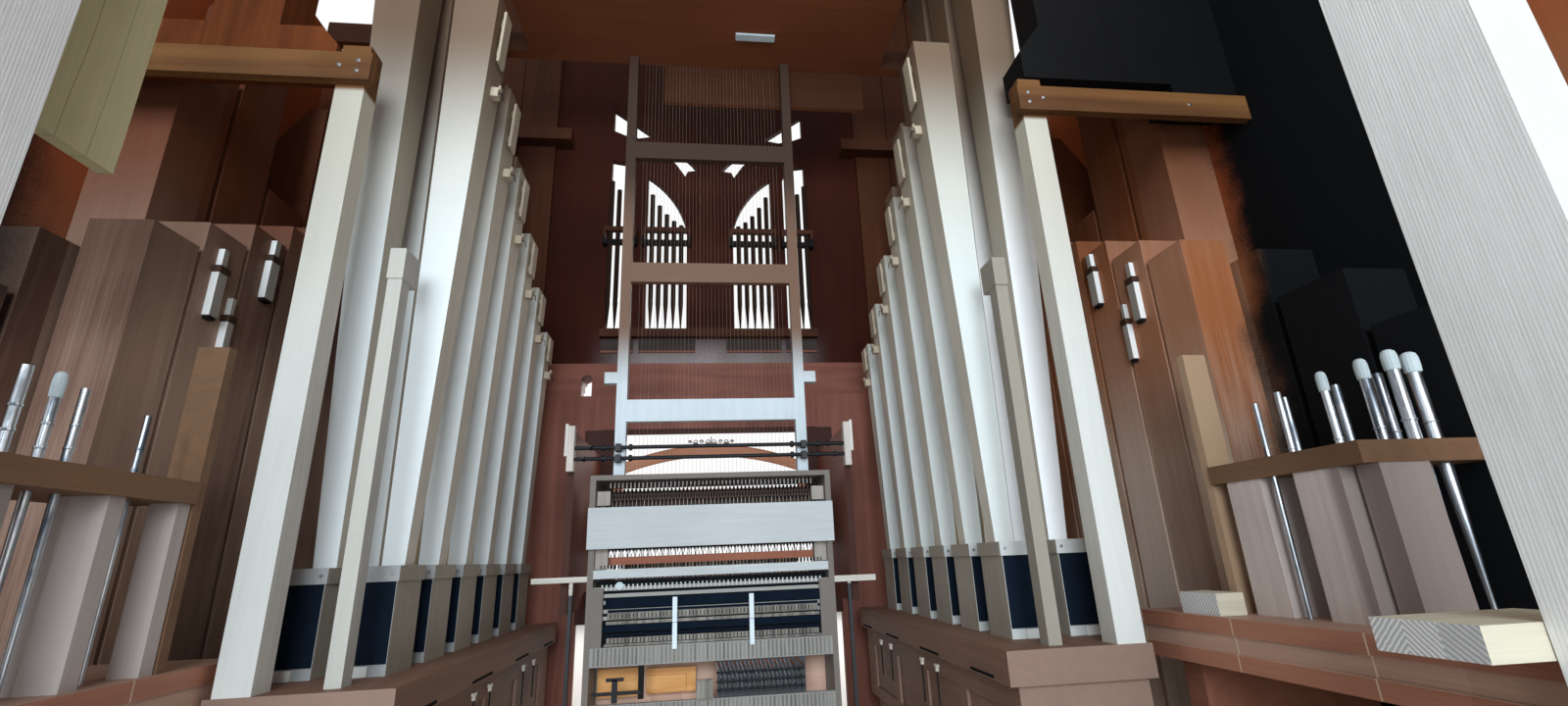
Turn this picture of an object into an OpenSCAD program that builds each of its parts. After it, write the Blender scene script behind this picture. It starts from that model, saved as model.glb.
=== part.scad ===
// Mechanical pipe organ, seen in use from its open back.
// +Z is up, the show front faces -Y and the open back faces +Y.
// Depths are given from the rear plane of the case towards the front.

/* [Case] */
// Depth from the rear plane to the back of the show front
front_d = 2485; // [2480:5:2600]
// Height of the case under its crown
case_h = 4300; // [4300:10:4600]
// Thickness of the show front's boards
front_t = 36; // [24:1:50]
// Thickness of the side walls
side_t = 35; // [24:1:45]
// Height of the plinth beams
plinth_h = 120; // [80:5:140]
// Width of the plinth beams
plinth_w = 80; // [60:5:100]
// Underside of the impost moulding
impost_z = 1560; // [1540:5:1600]
// Height of the impost moulding
impost_h = 160; // [120:5:180]
// How far the impost stands out in front
impost_out = 170; // [160:5:200]
// Height of the crown moulding
crown_h = 200; // [150:10:260]

/* [Show front] */
// Bottom of the pipe fields
field_z = 1885; // [1870:5:1910]
// Inner edge of the inner pipe field, from the middle
inner_x0 = 120; // [106:2:126]
// Outer edge of the inner pipe field
inner_x1 = 322; // [314:1:334]
// Height where the inner field's arch springs
arch_z = 2435; // [2420:5:2480]
// Radius of the inner field's arch
arch_r = 489; // [480:1:520]
// Inner edge of the outer pipe field
outer_x0 = 392; // [384:2:400]
// Outer edge of the outer pipe field
outer_x1 = 512; // [504:1:520]
// Top of the outer pipe field
outer_top = 2850; // [2810:5:2870]
// Height of the rack bars that hold the small front pipes
front_rack_z = 2340; // [2320:5:2350]
// Radius of the smallest front pipe
front_pipe_r = 12; // [9:0.5:12]
// Front pipes in a tower
tower_pipes = 9; // [7:2:9]

/* [Lower front and key desk] */
// Half width of the key desk opening
desk_half = 580; // [570:5:620]
// Top of the key desk opening
desk_top = 1395; // [1380:5:1420]
// Thickness of the lower front
lower_t = 30; // [24:1:40]
// Half width between the key desk's cheeks
cheek_x = 500; // [495:1:505]
// Thickness of the key desk's cheeks
cheek_t = 25; // [20:1:30]
// Height of the key bed
keybed_z = 640; // [620:5:680]
// Number of white keys in a manual
naturals = 33; // [28:1:33]
// Width of one white key
natural_w = 23.5; // [22:0.1:23.6]
// Number of keys in the pedal board
pedals = 27; // [25:2:29]
// Distance between pedal keys
pedal_pitch = 38; // [36:0.5:40]
// Depth of the pedal board's front edge from the rear plane
pedal_front_d = 3060; // [3060:5:3120]

/* [Rear frame] */
// Width of the rear posts
rear_post_w = 95; // [80:5:110]
// Depth of the rear posts
rear_post_d = 170; // [120:5:180]
// Lower end of the hanging board
hang_z = 1480; // [1300:10:1700]

/* [Pedal reed division] */
// Top of the toe boards that the reed boots stand on
toe_z = 580; // [560:5:600]
// Thickness of the toe boards
toe_t = 73; // [50:1:80]
// Inner edge of the toe boards
toe_x0 = 635; // [630:5:650]
// Width of the toe boards
toe_w = 350; // [345:1:360]
// Near end of the toe boards
toe_d0 = 925; // [900:5:940]
// Far end of the toe boards
toe_d1 = 2385; // [2380:5:2400]
// Reed pipes in each row
reeds = 6; // [4:1:6]
// Distance between reed pipes
reed_pitch = 208; // [205:1:210]
// Depth of the first boot's rear face
reed_d0 = 1105; // [1100:1:1112]
// Width of a boot
boot_w = 84; // [76:1:88]
// Length of a boot towards the front
boot_l = 136; // [120:1:140]
// Height of a boot with its cap
boot_h = 235; // [220:5:250]
// Thickness of the boot caps
boot_cap = 35; // [25:1:40]
// Resonator length over the cap on the longest inner pipe
reed_len = 1709; // [1600:1:1740]
// Top width of the longest inner resonator
reed_top = 131; // [100:1:135]
// Foot width of a resonator
reed_foot = 52; // [35:1:54]

/* [Posts and stays] */
// Width of the pale frame posts
post_w = 70; // [60:1:75]
// Depth of the pale frame posts
post_d = 60; // [50:1:62]
// Top of the pale frame posts
post_top = 2130; // [2110:5:2135]
// Height of the rails' lower edge
rail_z = 2005; // [1980:5:2020]
// Inner face of the stay posts
stay_x = 757; // [755:1:758]
// Top of the stay posts under their heads
stay_top = 1480; // [1450:5:1500]

/* [Outer division] */
// Near end of the outer chests
side_chest_d0 = 185; // [180:1:200]
// Far end of the outer chests
side_chest_d1 = 1055; // [1000:5:1060]
// Top of the outer chests
side_chest_z = 640; // [620:5:660]
// Underside of the lower rack board
rack_z = 919; // [900:1:930]
// Thickness of the rack boards
rack_t = 41; // [25:1:45]
// Metal pipes in each rack board
metal_pipes = 9; // [6:1:9]
// Radius of the smallest metal pipe
metal_r = 5.5; // [5:0.5:8]
// Width of the square boots
square_w = 90; // [70:1:100]

/* [Bass pipes] */
// Width of the front row of bass pipes
bass_w = 140; // [120:1:142]
// Distance between the pipes of the front row
bass_pitch = 154; // [150:1:156]
// Depth across the case of the back row's pipes
bass_back_l = 165; // [150:1:170]
// Distance between the pipes of the back row
bass_back_pitch = 200; // [190:1:202]
// Lengthwise width of the pipes of the back row
bass_back_w = 180; // [160:1:182]

/* [Great chest] */
// Underside of the great chest
great_z = 3000; // [2990:5:3040]
// Height of the great chest
great_h = 260; // [220:5:280]
// Half width of the great chest
great_half = 800; // [780:5:800]
// Ranks that stand on the great chest
ranks = 3; // [2:1:3]
// Pipes in each rank
rank_pipes = 17; // [13:1:17]

/* [Key action] */
// Depth of the action frame's rear edge
action_d = 1835; // [1830:1:1840]
// Half width over the action frame's cheeks
action_half = 435; // [425:1:440]
// Thickness of the action frame's cheeks
action_t = 20; // [15:1:22]
// Top of the action frame
action_top = 1105; // [1095:1:1110]
// Lower edge of the wide board
wide_z0 = 850; // [840:1:860]
// Upper edge of the wide board
wide_z1 = 990; // [980:1:1000]
// Inner face of the ladder's posts
ladder_x = 323; // [318:1:326]
// Width of the ladder's posts
ladder_w = 40; // [36:1:45]

/* [Rollers] */
// Radius of the two rollers
roller_r = 7; // [5:0.5:8]
// Height of the lower roller's axis
roller_z = 1168; // [1164:1:1172]
// Distance between the two axes
roller_gap = 40; // [38:1:44]
// Length of the roller arms from the axis
arm_l = 42; // [36:1:46]
// Running clearance of the journals
journal_gap = 0.08; // [0.05:0.01:0.1]

/* [Hidden] */
$fn = 48;
semitone = pow(2, 1 / 12);
lower_in = 30;
leg_w = 60;
reed_cap_z = toe_z + boot_h;
toe_x1 = toe_x0 + toe_w;
boot_in_x = toe_x0 + 100;
inner_edge_x = boot_in_x + 58;
outer_row_w = boot_w + 4;
outer_row_x = boot_in_x + boot_w + 71;
outer_edge_x = outer_row_x + 3;
post_x = toe_x1 - 85;
rear_post_x = toe_x1 + 15;
side_chest_x = toe_x1 + 5;
bass_x = toe_x1 + 305;
bass_back_x = bass_x + bass_w + 20;
wall_x = bass_back_x + bass_back_l;
case_half = wall_x + side_t;
side_chest_x1 = wall_x - 65;
slot_h = 12;
roller_d = action_d + 23;
ladder_d = action_d + 50;
plate_x = cheek_x;
plate_d0 = roller_d - 18;
plate_d1 = action_d + 40;
console_d = plate_d1;
great_d0 = 635;
great_d1 = 1935;
crown_out = 110;
side_h = great_z;
batten = 45;
rail_h = 82;
top_z = case_h - 100;
sill_d = front_d - 60;

// Distance from the rear plane, turned into Y with the middle of the depth at 0
function yd(d) = pedal_front_d / 2 - d;

// Length above the cap of pipe n, counted in semitones from the longest inner one
function reed_length(n) = (reed_len + 15) * pow(semitone, -n) - 15;
function reed_width(l) = reed_top * pow(l / reed_len, 0.7);

// A board between two places on each axis, with its depths from the rear plane
module board(x0, x1, d0, d1, z0, z1) {
    translate([x0, yd(d1), z0]) cube([x1 - x0, d1 - d0, z1 - z0]);
}

// The same thing on both sides of the middle
module both() {
    children();
    mirror([1, 0, 0]) children();
}

// The +X side for 1 and the -X side for -1
module on_side(s) {
    if (s > 0) children();
    if (s < 0) mirror([1, 0, 0]) children();
}

// A wall panel with its raised frame: one board with shallow fields on its -Y face
module framed_board(x0, x1, d, t, z0, z1, stile, depth) {
    difference() {
        board(x0, x1, d, d + t, z0, z1);
        board(x0 + stile, x1 - stile, d + t - depth, d + t + 1, z0 + stile, z1 - stile);
    }
}

module base_frame() {
    color("#5a3421") {
        difference() {
            board(-case_half, case_half, 0, front_d + lower_t, 0, plinth_h);
            board(plinth_w - case_half, case_half - plinth_w, plinth_w, front_d - 40, -1, plinth_h + 1);
            board(-desk_half, desk_half, front_d - 60, front_d + lower_t + 1, -1, plinth_h + 1);
        }
        for (x = [toe_x0 + 40, bass_x + 30])
            both() board(x, x + plinth_w, plinth_w, front_d - 40, 0, plinth_h);
        board(-toe_x0 - 40, toe_x0 + 40, sill_d - plinth_w, sill_d, 0, plinth_h);
    }
}

module lower_front() {
    color("#5a2a1c") {
        both() {
            framed_board(desk_half, (desk_half + case_half) / 2, front_d, lower_t, plinth_h, impost_z, 90, 8);
            framed_board((desk_half + case_half) / 2, case_half, front_d, lower_t, plinth_h, impost_z, 90, 8);
        }
        board(-desk_half, desk_half, front_d, front_d + lower_t, desk_top, impost_z);
    }
}

// Stepped moulding that runs along the front and returns to the side walls
module moulding(z, h, out, steps) {
    for (i = [0:steps - 1]) {
        f = (i + 1) / steps;
        board(-case_half, case_half, front_d, front_d + front_t + out * f, z + h * i / steps, z + h * (i + 1) / steps);
    }
}

module impost() {
    window_x = 585;
    window_r = 24;
    window_top = 1663;
    color("#64301f") difference() {
        moulding(impost_z, impost_h, impost_out - front_t, 4);
        board(window_x - window_r, window_x + window_r, front_d - 1, front_d + impost_out + 1, impost_z - 1, window_top - window_r);
        translate([window_x, yd(front_d - 1), window_top - window_r]) rotate([90, 0, 0])
            cylinder(r = window_r, h = impost_out + 2);
    }
}

// Pipe field whose top is part of a circle that rises outwards from its springing
module field_arch(x0, x1, z0, spring, r) {
    translate([0, yd(front_d - 1), 0]) rotate([90, 0, 0]) linear_extrude(front_t + 2) intersection() {
        translate([x0, z0]) square([x1 - x0, r + spring - z0]);
        union() {
            translate([x0, z0]) square([x1 - x0, spring - z0]);
            translate([x0 + 0.986 * r, spring - 0.167 * r]) circle(r = r, $fn = 192);
        }
    }
}

// Opening through the show front with straight sides, from points on its face
module front_hole(points) {
    translate([0, yd(front_d - 1), 0]) rotate([90, 0, 0]) linear_extrude(front_t + 2) polygon(points);
}

module facade() {
    spandrel_z = outer_top + 155;
    color("#4a1f14") difference() {
        board(-case_half, case_half, front_d, front_d + front_t, impost_z + impost_h, case_h);
        both() {
            field_arch(inner_x0, inner_x1, field_z, arch_z, arch_r);
            front_hole([[outer_x0, field_z], [outer_x1, field_z], [outer_x1, outer_top],
                [outer_x0 + 58, outer_top - 10], [outer_x0 + 28, outer_top - 37], [outer_x0, outer_top - 85]]);
            front_hole([[outer_x0 - 94, spandrel_z + 3], [outer_x0 - 12, spandrel_z - 12], [outer_x0 + 58, spandrel_z + 3],
                [outer_x1, spandrel_z + 30], [outer_x1, spandrel_z + 163]]);
            front_hole([[62, 2803], [100, 2850], [141, 2890], [190, 2925], [250, 2945], [240, 2910], [216, 2880],
                [176, 2835], [130, 2765], [117, 2795]]);
        }
    }
}

module crown() {
    color("#64301f") {
        moulding(case_h, crown_h, crown_out, 5);
        both() board(case_half - 120, case_half, 0, front_d, case_h, case_h + crown_h / 2);
    }
}

module side_wall(s) {
    mid_d = front_d / 2;
    color("#6b3a25") on_side(s) {
        difference() {
            board(wall_x, case_half, 0, front_d, plinth_h, side_h);
            for (p = [[140, mid_d - 60], [mid_d + 60, front_d - 140]], q = [[240, 1450], [1590, side_h - 140]])
                board(case_half - 10, case_half + 1, p[0], p[1], q[0], q[1]);
        }
        for (d = [0, mid_d - 45, front_d - 90])
            board(wall_x - batten, case_half, d, d + 90, side_h, case_h);
        board(wall_x, case_half, 90, front_d - 90, top_z, case_h);
    }
}

module rear_frame() {
    jamb_d1 = 345;
    hang_d0 = 392;
    hang_d1 = 530;
    rail_w = 95;
    rail_x = rear_post_x + 50;
    color("#cdbfae") {
        both() {
            board(rear_post_x, rear_post_x + rear_post_w, 0, rear_post_d, plinth_h, top_z);
            board(rail_x, rail_x + rail_w, rear_post_d, front_d, top_z, case_h);
        }
        board(batten - wall_x, wall_x - batten, 0, rear_post_d, top_z, case_h);
        board(rear_post_x, rear_post_x + 30, rear_post_d, jamb_d1, rack_low(1) + rack_t, top_z);
        board(rail_x, rail_x + 25, hang_d0, hang_d1, hang_z, top_z);
    }
}

// Boards that close the towers from behind, with the beams that carry the tower ends
module tower_backs() {
    back_d = front_d - 45;
    back_x = toe_x0 + 170;
    planks = 4;
    w = (wall_x - batten - back_x) / planks;
    color("#7b4a2c") both() {
        for (i = [0:planks - 1])
            board(back_x + i * w, back_x + (i + 1) * w - 4, back_d + 15, front_d, impost_z, top_z);
        board(back_x, wall_x, back_d - 60, back_d + 15, 1900, 1980);
        board(back_x - 95, wall_x, back_d - 60, back_d + 15, side_h - 100, side_h - 35);
        board(back_x, wall_x - batten, back_d - 60, back_d + 15, 4020, 4100);
    }
}

// Two bars with holes for the pipes behind each field, held by cleats, and a sill under the feet
module facade_racks() {
    rack_d = front_d - 44;
    rack_gap = 72;
    bar_t = 24;
    color("#1f1714") {
        both() difference() {
            for (z = [front_rack_z, front_rack_z + rack_gap], x = [[inner_x0 - 8, inner_x1 + 10], [outer_x0 - 8, outer_x1 + 14]])
                board(x[0], x[1], rack_d, rack_d + 28, z, z + bar_t);
            for (x = front_pipe_places())
                translate([x, yd(rack_d + 14), front_rack_z - 1]) cylinder(r = front_pipe_r + 0.3, h = rack_gap + bar_t + 2);
        }
        both() for (x = [inner_x0 - 20, inner_x1 + 10, outer_x0 - 20, outer_x1 + 14])
            board(x, x + 12, rack_d, front_d, front_rack_z, front_rack_z + rack_gap + bar_t);
        board(-outer_x1 - 20, outer_x1 + 20, rack_d, front_d, field_z - 40, field_z);
    }
}

function front_pipe_places() = concat(
    [for (i = [0:4]) inner_x0 + 27 + i * (inner_x1 - inner_x0 - 54) / 4],
    [for (i = [0:2]) outer_x0 + 36 + 37 * i]);

// Flue pipe with a conical foot and a body
module flue(r, foot_h, body_h) {
    cylinder(r1 = r * 0.25, r2 = r, h = foot_h);
    translate([0, 0, foot_h]) cylinder(r = r, h = body_h);
}

module facade_pipes() {
    places = front_pipe_places();
    color("#8d8a85") both() for (i = [0:len(places) - 1])
        translate([places[i], yd(front_d - 30), field_z])
            flue(front_pipe_r, 130, i < 5 ? 435 + 18 * i + 6.5 * i * i : 585 + 50 * (i - 5));
}

module tower_pipes() {
    pitch = 104;
    half = (tower_pipes - 1) / 2;
    middle = (desk_half + case_half) / 2;
    z0 = impost_z + impost_h;
    color("#b9bcc0") both() for (i = [-half:half]) {
        r = 47 - 5 * abs(i);
        translate([middle + i * pitch, yd(front_d + front_t + 60), z0])
            flue(r, 330 + 20 * abs(i), 1850 - 230 * abs(i));
    }
}

module great_chest() {
    drop = 200;
    color("#5b3a26") {
        board(-great_half, great_half, great_d0, great_d1, great_z, great_z + great_h);
        for (d = [great_d0, great_d0 + 120])
            both() board(great_half, case_half, d, d + 80, great_z, great_z + 100);
        both() board(great_half, case_half, great_d1 - 50, great_d1, great_z, great_z + 100);
    }
    color("#8a6a4c") board(-0.9 * great_half, 0.26 * great_half, great_d1, great_d1 + 22, great_z - drop, great_z + 40);
}

module great_pipes() {
    pitch = 88;
    half = (rank_pipes - 1) / 2;
    color("#aeb1b4") for (k = [0:ranks - 1], i = [-half:half]) {
        body = (760 - 170 * k) * pow(semitone, -1.3 * abs(i));
        translate([i * pitch, yd(great_d0 + 420 + 300 * k), great_z + great_h])
            flue(max(9, 30 * pow(semitone, -0.8 * abs(i)) - 5 * k), 180, body);
    }
}

module ladder_frame() {
    x1 = ladder_x + ladder_w;
    color("#b59b80") {
        both() {
            board(ladder_x, x1, ladder_d, ladder_d + 45, action_top, great_z);
            board(x1, x1 + 48, ladder_d + 5, ladder_d + 40, 1462, 1506);
        }
        for (z = [[1310, 1395], [1885, 1970], [2466, 2547]])
            board(-ladder_x, ladder_x, ladder_d, ladder_d + 28, z[0], z[1]);
    }
}

module pedal_chest(s) {
    z1 = toe_z - toe_t;
    z0 = 250;
    color("#6d4a30") on_side(s) {
        difference() {
            board(toe_x0 + 25, toe_x1 - 15, toe_d0 + 15, toe_d1 - 15, z0, z1);
            for (d = [toe_d0 + 120 : 330 : toe_d1 - 240])
                board(toe_x0, toe_x0 + 60, d, d + 210, z1 - slot_h, z1 + 1);
            for (d = [toe_d0 + 60 : 330 : toe_d1 - 300])
                board(toe_x0, toe_x0 + 33, d, d + 280, z0 + 40, z1 - 60);
        }
        for (d = [toe_d0 + 40, (toe_d0 + toe_d1) / 2, toe_d1 - 100])
            board(toe_x0 + 50, toe_x1 - 40, d, d + leg_w, plinth_h, z0);
    }
}

module toe_board(s) {
    color("#7a4b31") on_side(s) board(toe_x0, toe_x1, toe_d0, toe_d1, toe_z - toe_t, toe_z);
}

module reed_boots(s) {
    color("#cdbfa6") on_side(s) for (i = [0:reeds - 1]) {
        d = reed_d0 + i * reed_pitch;
        for (row = [[boot_in_x, boot_w], [outer_row_x, outer_row_w]]) {
            board(row[0], row[0] + row[1], d, d + boot_l, toe_z, reed_cap_z - boot_cap);
            board(row[0] - 5, row[0] + row[1] + 5, d - 5, d + boot_l + 5, reed_cap_z - boot_cap, reed_cap_z);
        }
    }
}

// Square tapered wooden resonator with one upright side, tapered towards +X
module resonator(l) {
    linear_extrude(l, scale = reed_width(l) / reed_foot) translate([0, -reed_foot / 2]) square(reed_foot);
}

module resonators(s) {
    shift = s > 0 ? 0 : 1;
    color("#dccdb2") on_side(s) for (i = [0:reeds - 1]) {
        d = reed_d0 + i * reed_pitch + boot_l / 2;
        translate([inner_edge_x, yd(d), reed_cap_z]) mirror([1, 0, 0]) resonator(reed_length(2 * i + shift));
        translate([outer_edge_x, yd(d), reed_cap_z]) resonator(reed_length(2 * i + shift - 11));
    }
}

module stay_posts() {
    d0 = toe_d0 + 40;
    post_s = 33;
    color("#d3c5ab") both() {
        board(stay_x, stay_x + post_s, d0, d0 + 40, toe_z, stay_top);
        board(stay_x - 2, stay_x + post_s + 2, d0 - 4, d0 + 75, stay_top, stay_top + 80);
    }
}

module frame_posts() {
    rail_t = 25;
    color("#cfc1a6") both() {
        board(post_x, post_x + post_w, toe_d0, toe_d0 + post_d, toe_z, post_top);
        board(post_x - 20, wall_x, toe_d0 - rail_t, toe_d0, rail_z, rail_z + rail_h);
    }
}

module outer_chest(s) {
    band = 34;
    z0 = side_chest_z - 3 * band;
    x0 = s > 0 ? side_chest_x : side_chest_x + 65;
    color("#7c4d38") on_side(s) {
        board(x0, side_chest_x1, side_chest_d0, side_chest_d1, side_chest_z - band, side_chest_z);
        board(x0 + 4, side_chest_x1, side_chest_d0, side_chest_d1, z0 + band, side_chest_z - band);
        board(x0, side_chest_x1, side_chest_d0, side_chest_d1, z0, z0 + band);
        for (d = [side_chest_d0 + 20, side_chest_d1 - 100])
            board(x0 + 60, side_chest_x1, d, d + leg_w, plinth_h, z0);
    }
}

// Rack board, pipe and boot places: the -X side's rack stands further out and lower
function rack_in(s) = s > 0 ? side_chest_x + 12 : side_chest_x + 160;
function rack_low(s) = s > 0 ? rack_z + 20 : rack_z;
function rack_near(s) = s > 0 ? side_chest_d0 : side_chest_d0 + 281;
function rack_far(s) = side_chest_d1 - (s > 0 ? 230 : 215);
function rack_pipe_x(s, i) = rack_in(s) + (s > 0 ? 58 : [10, 40, 75, 112, 140, 150, 190, 190, 230, 250][i]);
function rack_pipe_d(s, i) = rack_far(s) - (s > 0 ?
    [85, 220, 267, 323, 395, 440, 485, 590, 620, 620][i] :
    [168, 199, 177, 239, 238, 294, 286, 320, 324, 355][i]);
function rack_pipe_r(i) = metal_r + 0.7 * i;
function low_boots(s) = s > 0 ?
    [[8, rack_near(s) + 80, square_w, 32], [8, rack_near(s) + 267, square_w, 32], [8, rack_near(s) + 457, square_w, 32],
        [8, rack_far(s) - 34, 50, 30]] :
    [[33, rack_near(s) + 2, square_w + 15, 45], [4, rack_near(s) + 54, square_w, 100], [4, rack_near(s) + 238, square_w, 92]];

module rack_boards() {
    color("#7a4e36") for (s = [-1, 1]) on_side(s) {
        difference() {
            board(rack_in(s), s > 0 ? rack_in(s) + 180 : bass_x + bass_w, rack_near(s), rack_far(s), rack_low(s), rack_low(s) + rack_t);
            for (i = [0:metal_pipes - 1])
                translate([rack_pipe_x(s, i), yd(rack_pipe_d(s, i)), rack_low(s) - 1])
                    cylinder(r = rack_pipe_r(i) + 0.4, h = rack_t + 2);
        }
        board(rack_in(s) + 5, rack_in(s) + 65, rack_far(s), rack_far(s) + 22, side_chest_z, rack_low(s) + 320);
    }
}

module metal_pipes(s) {
    color("#b4b8bd") on_side(s) for (i = [0:metal_pipes - 1]) {
        r = rack_pipe_r(i);
        translate([rack_pipe_x(s, i), yd(rack_pipe_d(s, i)), 0]) {
            translate([0, 0, side_chest_z]) cylinder(r1 = 4, r2 = r, h = rack_low(s) - side_chest_z);
            translate([0, 0, rack_low(s)]) cylinder(r = r, h = rack_t + 115 + 5.5 * i + (i % 2) * 12);
        }
    }
}

module square_boots() {
    color("#c9bbae") for (s = [-1, 1], b = low_boots(s)) on_side(s)
        board(rack_in(s) + b[0], rack_in(s) + b[0] + b[2], b[1], b[1] + b[3], side_chest_z, rack_low(s));
}

// Depth and top of front row pipe i, with the first one on the outer chest
function bass_d(i) = side_chest_d1 - bass_w - 1 + i * bass_pitch;
function bass_top(i) = 1600 + 78 * i;

// Depth and top of back row pipe i, with the first three on the outer chest
function back_d(i) = side_chest_d1 + 20 + (i - 3) * bass_back_pitch - (i < 3 ? 30 : 0);
function back_top(i) = i < 3 ? 1240 + 150 * i : 2020 + 235 * ((i * 2) % 5);

// Square wooden pipe, with its head cut to a mitre on the wall side
module bass_pipe(x0, x1, d, w, z0, z1, mitre) {
    difference() {
        board(x0, x1, d, d + w, z0, z1);
        if (mitre) translate([x0, yd(d - 1), z1 - (x1 - x0)]) rotate([90, 0, 0]) linear_extrude(w + 2)
            polygon([[x1 - x0 + 1, 0], [x1 - x0 + 1, x1 - x0 + 1], [60, x1 - x0 + 1], [60, x1 - x0]]);
    }
}

module bass_pipes(s) {
    color("#8a5638") on_side(s) {
        for (i = [0:8]) bass_pipe(bass_x, bass_x + bass_w - 5, bass_d(i), bass_w,
            i == 0 ? side_chest_z : plinth_h, bass_top(i), false);
        for (i = [0:8]) bass_pipe(bass_back_x, wall_x, back_d(i), bass_back_w,
            i < 3 ? side_chest_z : plinth_h, back_top(i), i > 3);
    }
}

// Heads of two long pipes, turned across over the rails of the frame posts
module turned_heads() {
    z0 = rail_z + rail_h;
    color("#23201f") translate([0, yd(toe_d0), 0]) rotate([90, 0, 0]) linear_extrude(120)
        polygon([[-toe_x1 + 60, z0 + 52], [-toe_x1 + 60, z0 + 148], [-toe_x1 - 15, z0 + 250], [-toe_x1 - 15, 2700],
            [-wall_x, 2700], [-wall_x, z0], [-bass_x - 110, z0], [-bass_x - 110, z0 + 52]]);
    color("#6d3a22") translate([0, yd(toe_d0), 0]) rotate([90, 0, 0]) linear_extrude(120)
        polygon([[toe_x1, z0], [toe_x1, z0 + 46], [toe_x1 + 46, z0 + 100], [toe_x1 + 151, z0 + 100],
            [toe_x1 + 151, 2900], [bass_x + 15, 2900], [bass_x + 15, z0 + 100], [wall_x, z0 + 100], [wall_x, z0]]);
}

module mouth_caps() {
    cap_t = 18;
    color("#d9cfbe") both() for (c = [[1109, 31, 1440, 118], [1289, 36, 1562, 114], [1177, 22, 1335, 111]])
        board(bass_x - cap_t, bass_x, c[0], c[0] + c[1], c[2], c[2] + c[3]);
}

module action_frame() {
    depth = 300;
    low_x = action_half - 5;
    color("#b7aa9a") {
        both() {
            board(action_half - action_t, action_half, action_d, action_d + depth, wide_z0, action_top - 18);
            board(low_x - action_t, low_x, action_d, action_d + depth, 0, wide_z0);
        }
        board(-action_half, action_half, action_d, action_d + depth, action_top - 18, action_top);
    }
}

// Boards and rails across the back of the key action
module action_rails() {
    in_x = action_half - 5 - action_t;
    face = 18;
    color("#c4bcb0") {
        board(-action_half, action_half, action_d - face, action_d, wide_z0, wide_z1);
        board(-in_x, in_x, action_d, action_d + face, 752, 781);
        board(-in_x, in_x, action_d, action_d + face, 475, 534);
        board(-in_x, in_x, action_d, action_d + face, 215, 361);
        for (z = [618, 640, 668, 690, 712])
            board(-in_x, in_x, action_d + 14, action_d + 40, z, z + 12);
    }
    color("#7a4a35") {
        board(-in_x, in_x, action_d + 60, action_d + 90, 796, 822);
        board(-in_x - 5, in_x + 5, action_d + 60, action_d + 90, 1020, 1042);
    }
}

module side_arms() {
    color("#b7aa9a") {
        board(action_half - 5, toe_x0 - 20, action_d, action_d + 40, 744, 762);
        board(-toe_x0 + 55, -action_half + 5, action_d, action_d + 40, 709, 729);
    }
    color("#211c1a") {
        board(cheek_x - 22, cheek_x - 10, action_d + 8, action_d + 24, 0, 744);
        board(-cheek_x + 10, -cheek_x + 22, action_d + 8, action_d + 24, 0, 709);
    }
}

module roller_board() {
    color("#4b423d") {
        board(-311, -12, action_d + 2, action_d + 20, 361, 475);
        for (z = [378, 408, 438])
            board(-300, -20, action_d - 8, action_d + 2, z, z + 9);
    }
}

module roller_bearings() {
    block = 20;
    color("#d1c7b8") both() difference() {
        board(plate_x, plate_x + 24, plate_d0, plate_d1, roller_z - 45, roller_z + roller_gap + 80);
        for (z = [roller_z, roller_z + roller_gap])
            translate([plate_x - 1, yd(roller_d), z]) rotate([0, 90, 0])
                cylinder(r = roller_r + journal_gap, h = 16);
    }
    color("#1c1a1a") both() for (z = [roller_z, roller_z + roller_gap]) difference() {
        board(ladder_x + 12, ladder_x + 12 + block, roller_d - 13, ladder_d, z - 13, z + 13);
        translate([ladder_x, yd(roller_d), z]) rotate([0, 90, 0])
            cylinder(r = roller_r + journal_gap, h = 60);
    }
}

// Iron roller across the action, with one arm to the back and one to the front
module roller(z, arm_x) {
    half = plate_x + 13;
    color("#17181a") difference() {
        union() {
            translate([-half, yd(roller_d), z]) rotate([0, 90, 0]) cylinder(r = roller_r, h = 2 * half);
            for (s = [-1, 1]) translate([s * arm_x, yd(roller_d), z]) {
                rotate([0, 90, 0]) translate([0, 0, -5]) cylinder(r = roller_r + 3, h = 10);
                translate([-3, s > 0 ? 0 : -arm_l, -5]) cube([6, arm_l, 10]);
            }
        }
        for (s = [-1, 1])
            translate([s * arm_x - 5, yd(roller_d) + s * (arm_l - 7), z]) rotate([0, 90, 0])
                cylinder(r = 2, h = 10);
    }
}

module upper_roller() {
    roller(roller_z + roller_gap, 440);
}

module lower_roller() {
    roller(roller_z, 465);
}

module key_desk() {
    bed_d0 = 2200;
    bed_d1 = 2760;
    color("#5d3120") {
        both() {
            board(cheek_x, cheek_x + cheek_t, console_d, front_d, keybed_z, roller_z + 100);
            board(cheek_x, cheek_x + cheek_t, front_d, front_d + lower_t, keybed_z, desk_top);
            board(cheek_x, cheek_x + cheek_t, front_d + lower_t, bed_d1, keybed_z, 980);
            board(cheek_x + cheek_t, desk_half, front_d, front_d + lower_t, 900, desk_top);
            board(cheek_x - 60, cheek_x, 2540, bed_d1, keybed_z + 60, 760);
        }
        board(-cheek_x, cheek_x, bed_d0, bed_d1, keybed_z, keybed_z + 60);
        board(-cheek_x, cheek_x, front_d, front_d + lower_t, 500, keybed_z);
        both() board(cheek_x, desk_half, front_d - 20, front_d + lower_t, 560, keybed_z);
        board(-cheek_x, cheek_x, 2430, 2452, 856, 1090);
    }
}

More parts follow.
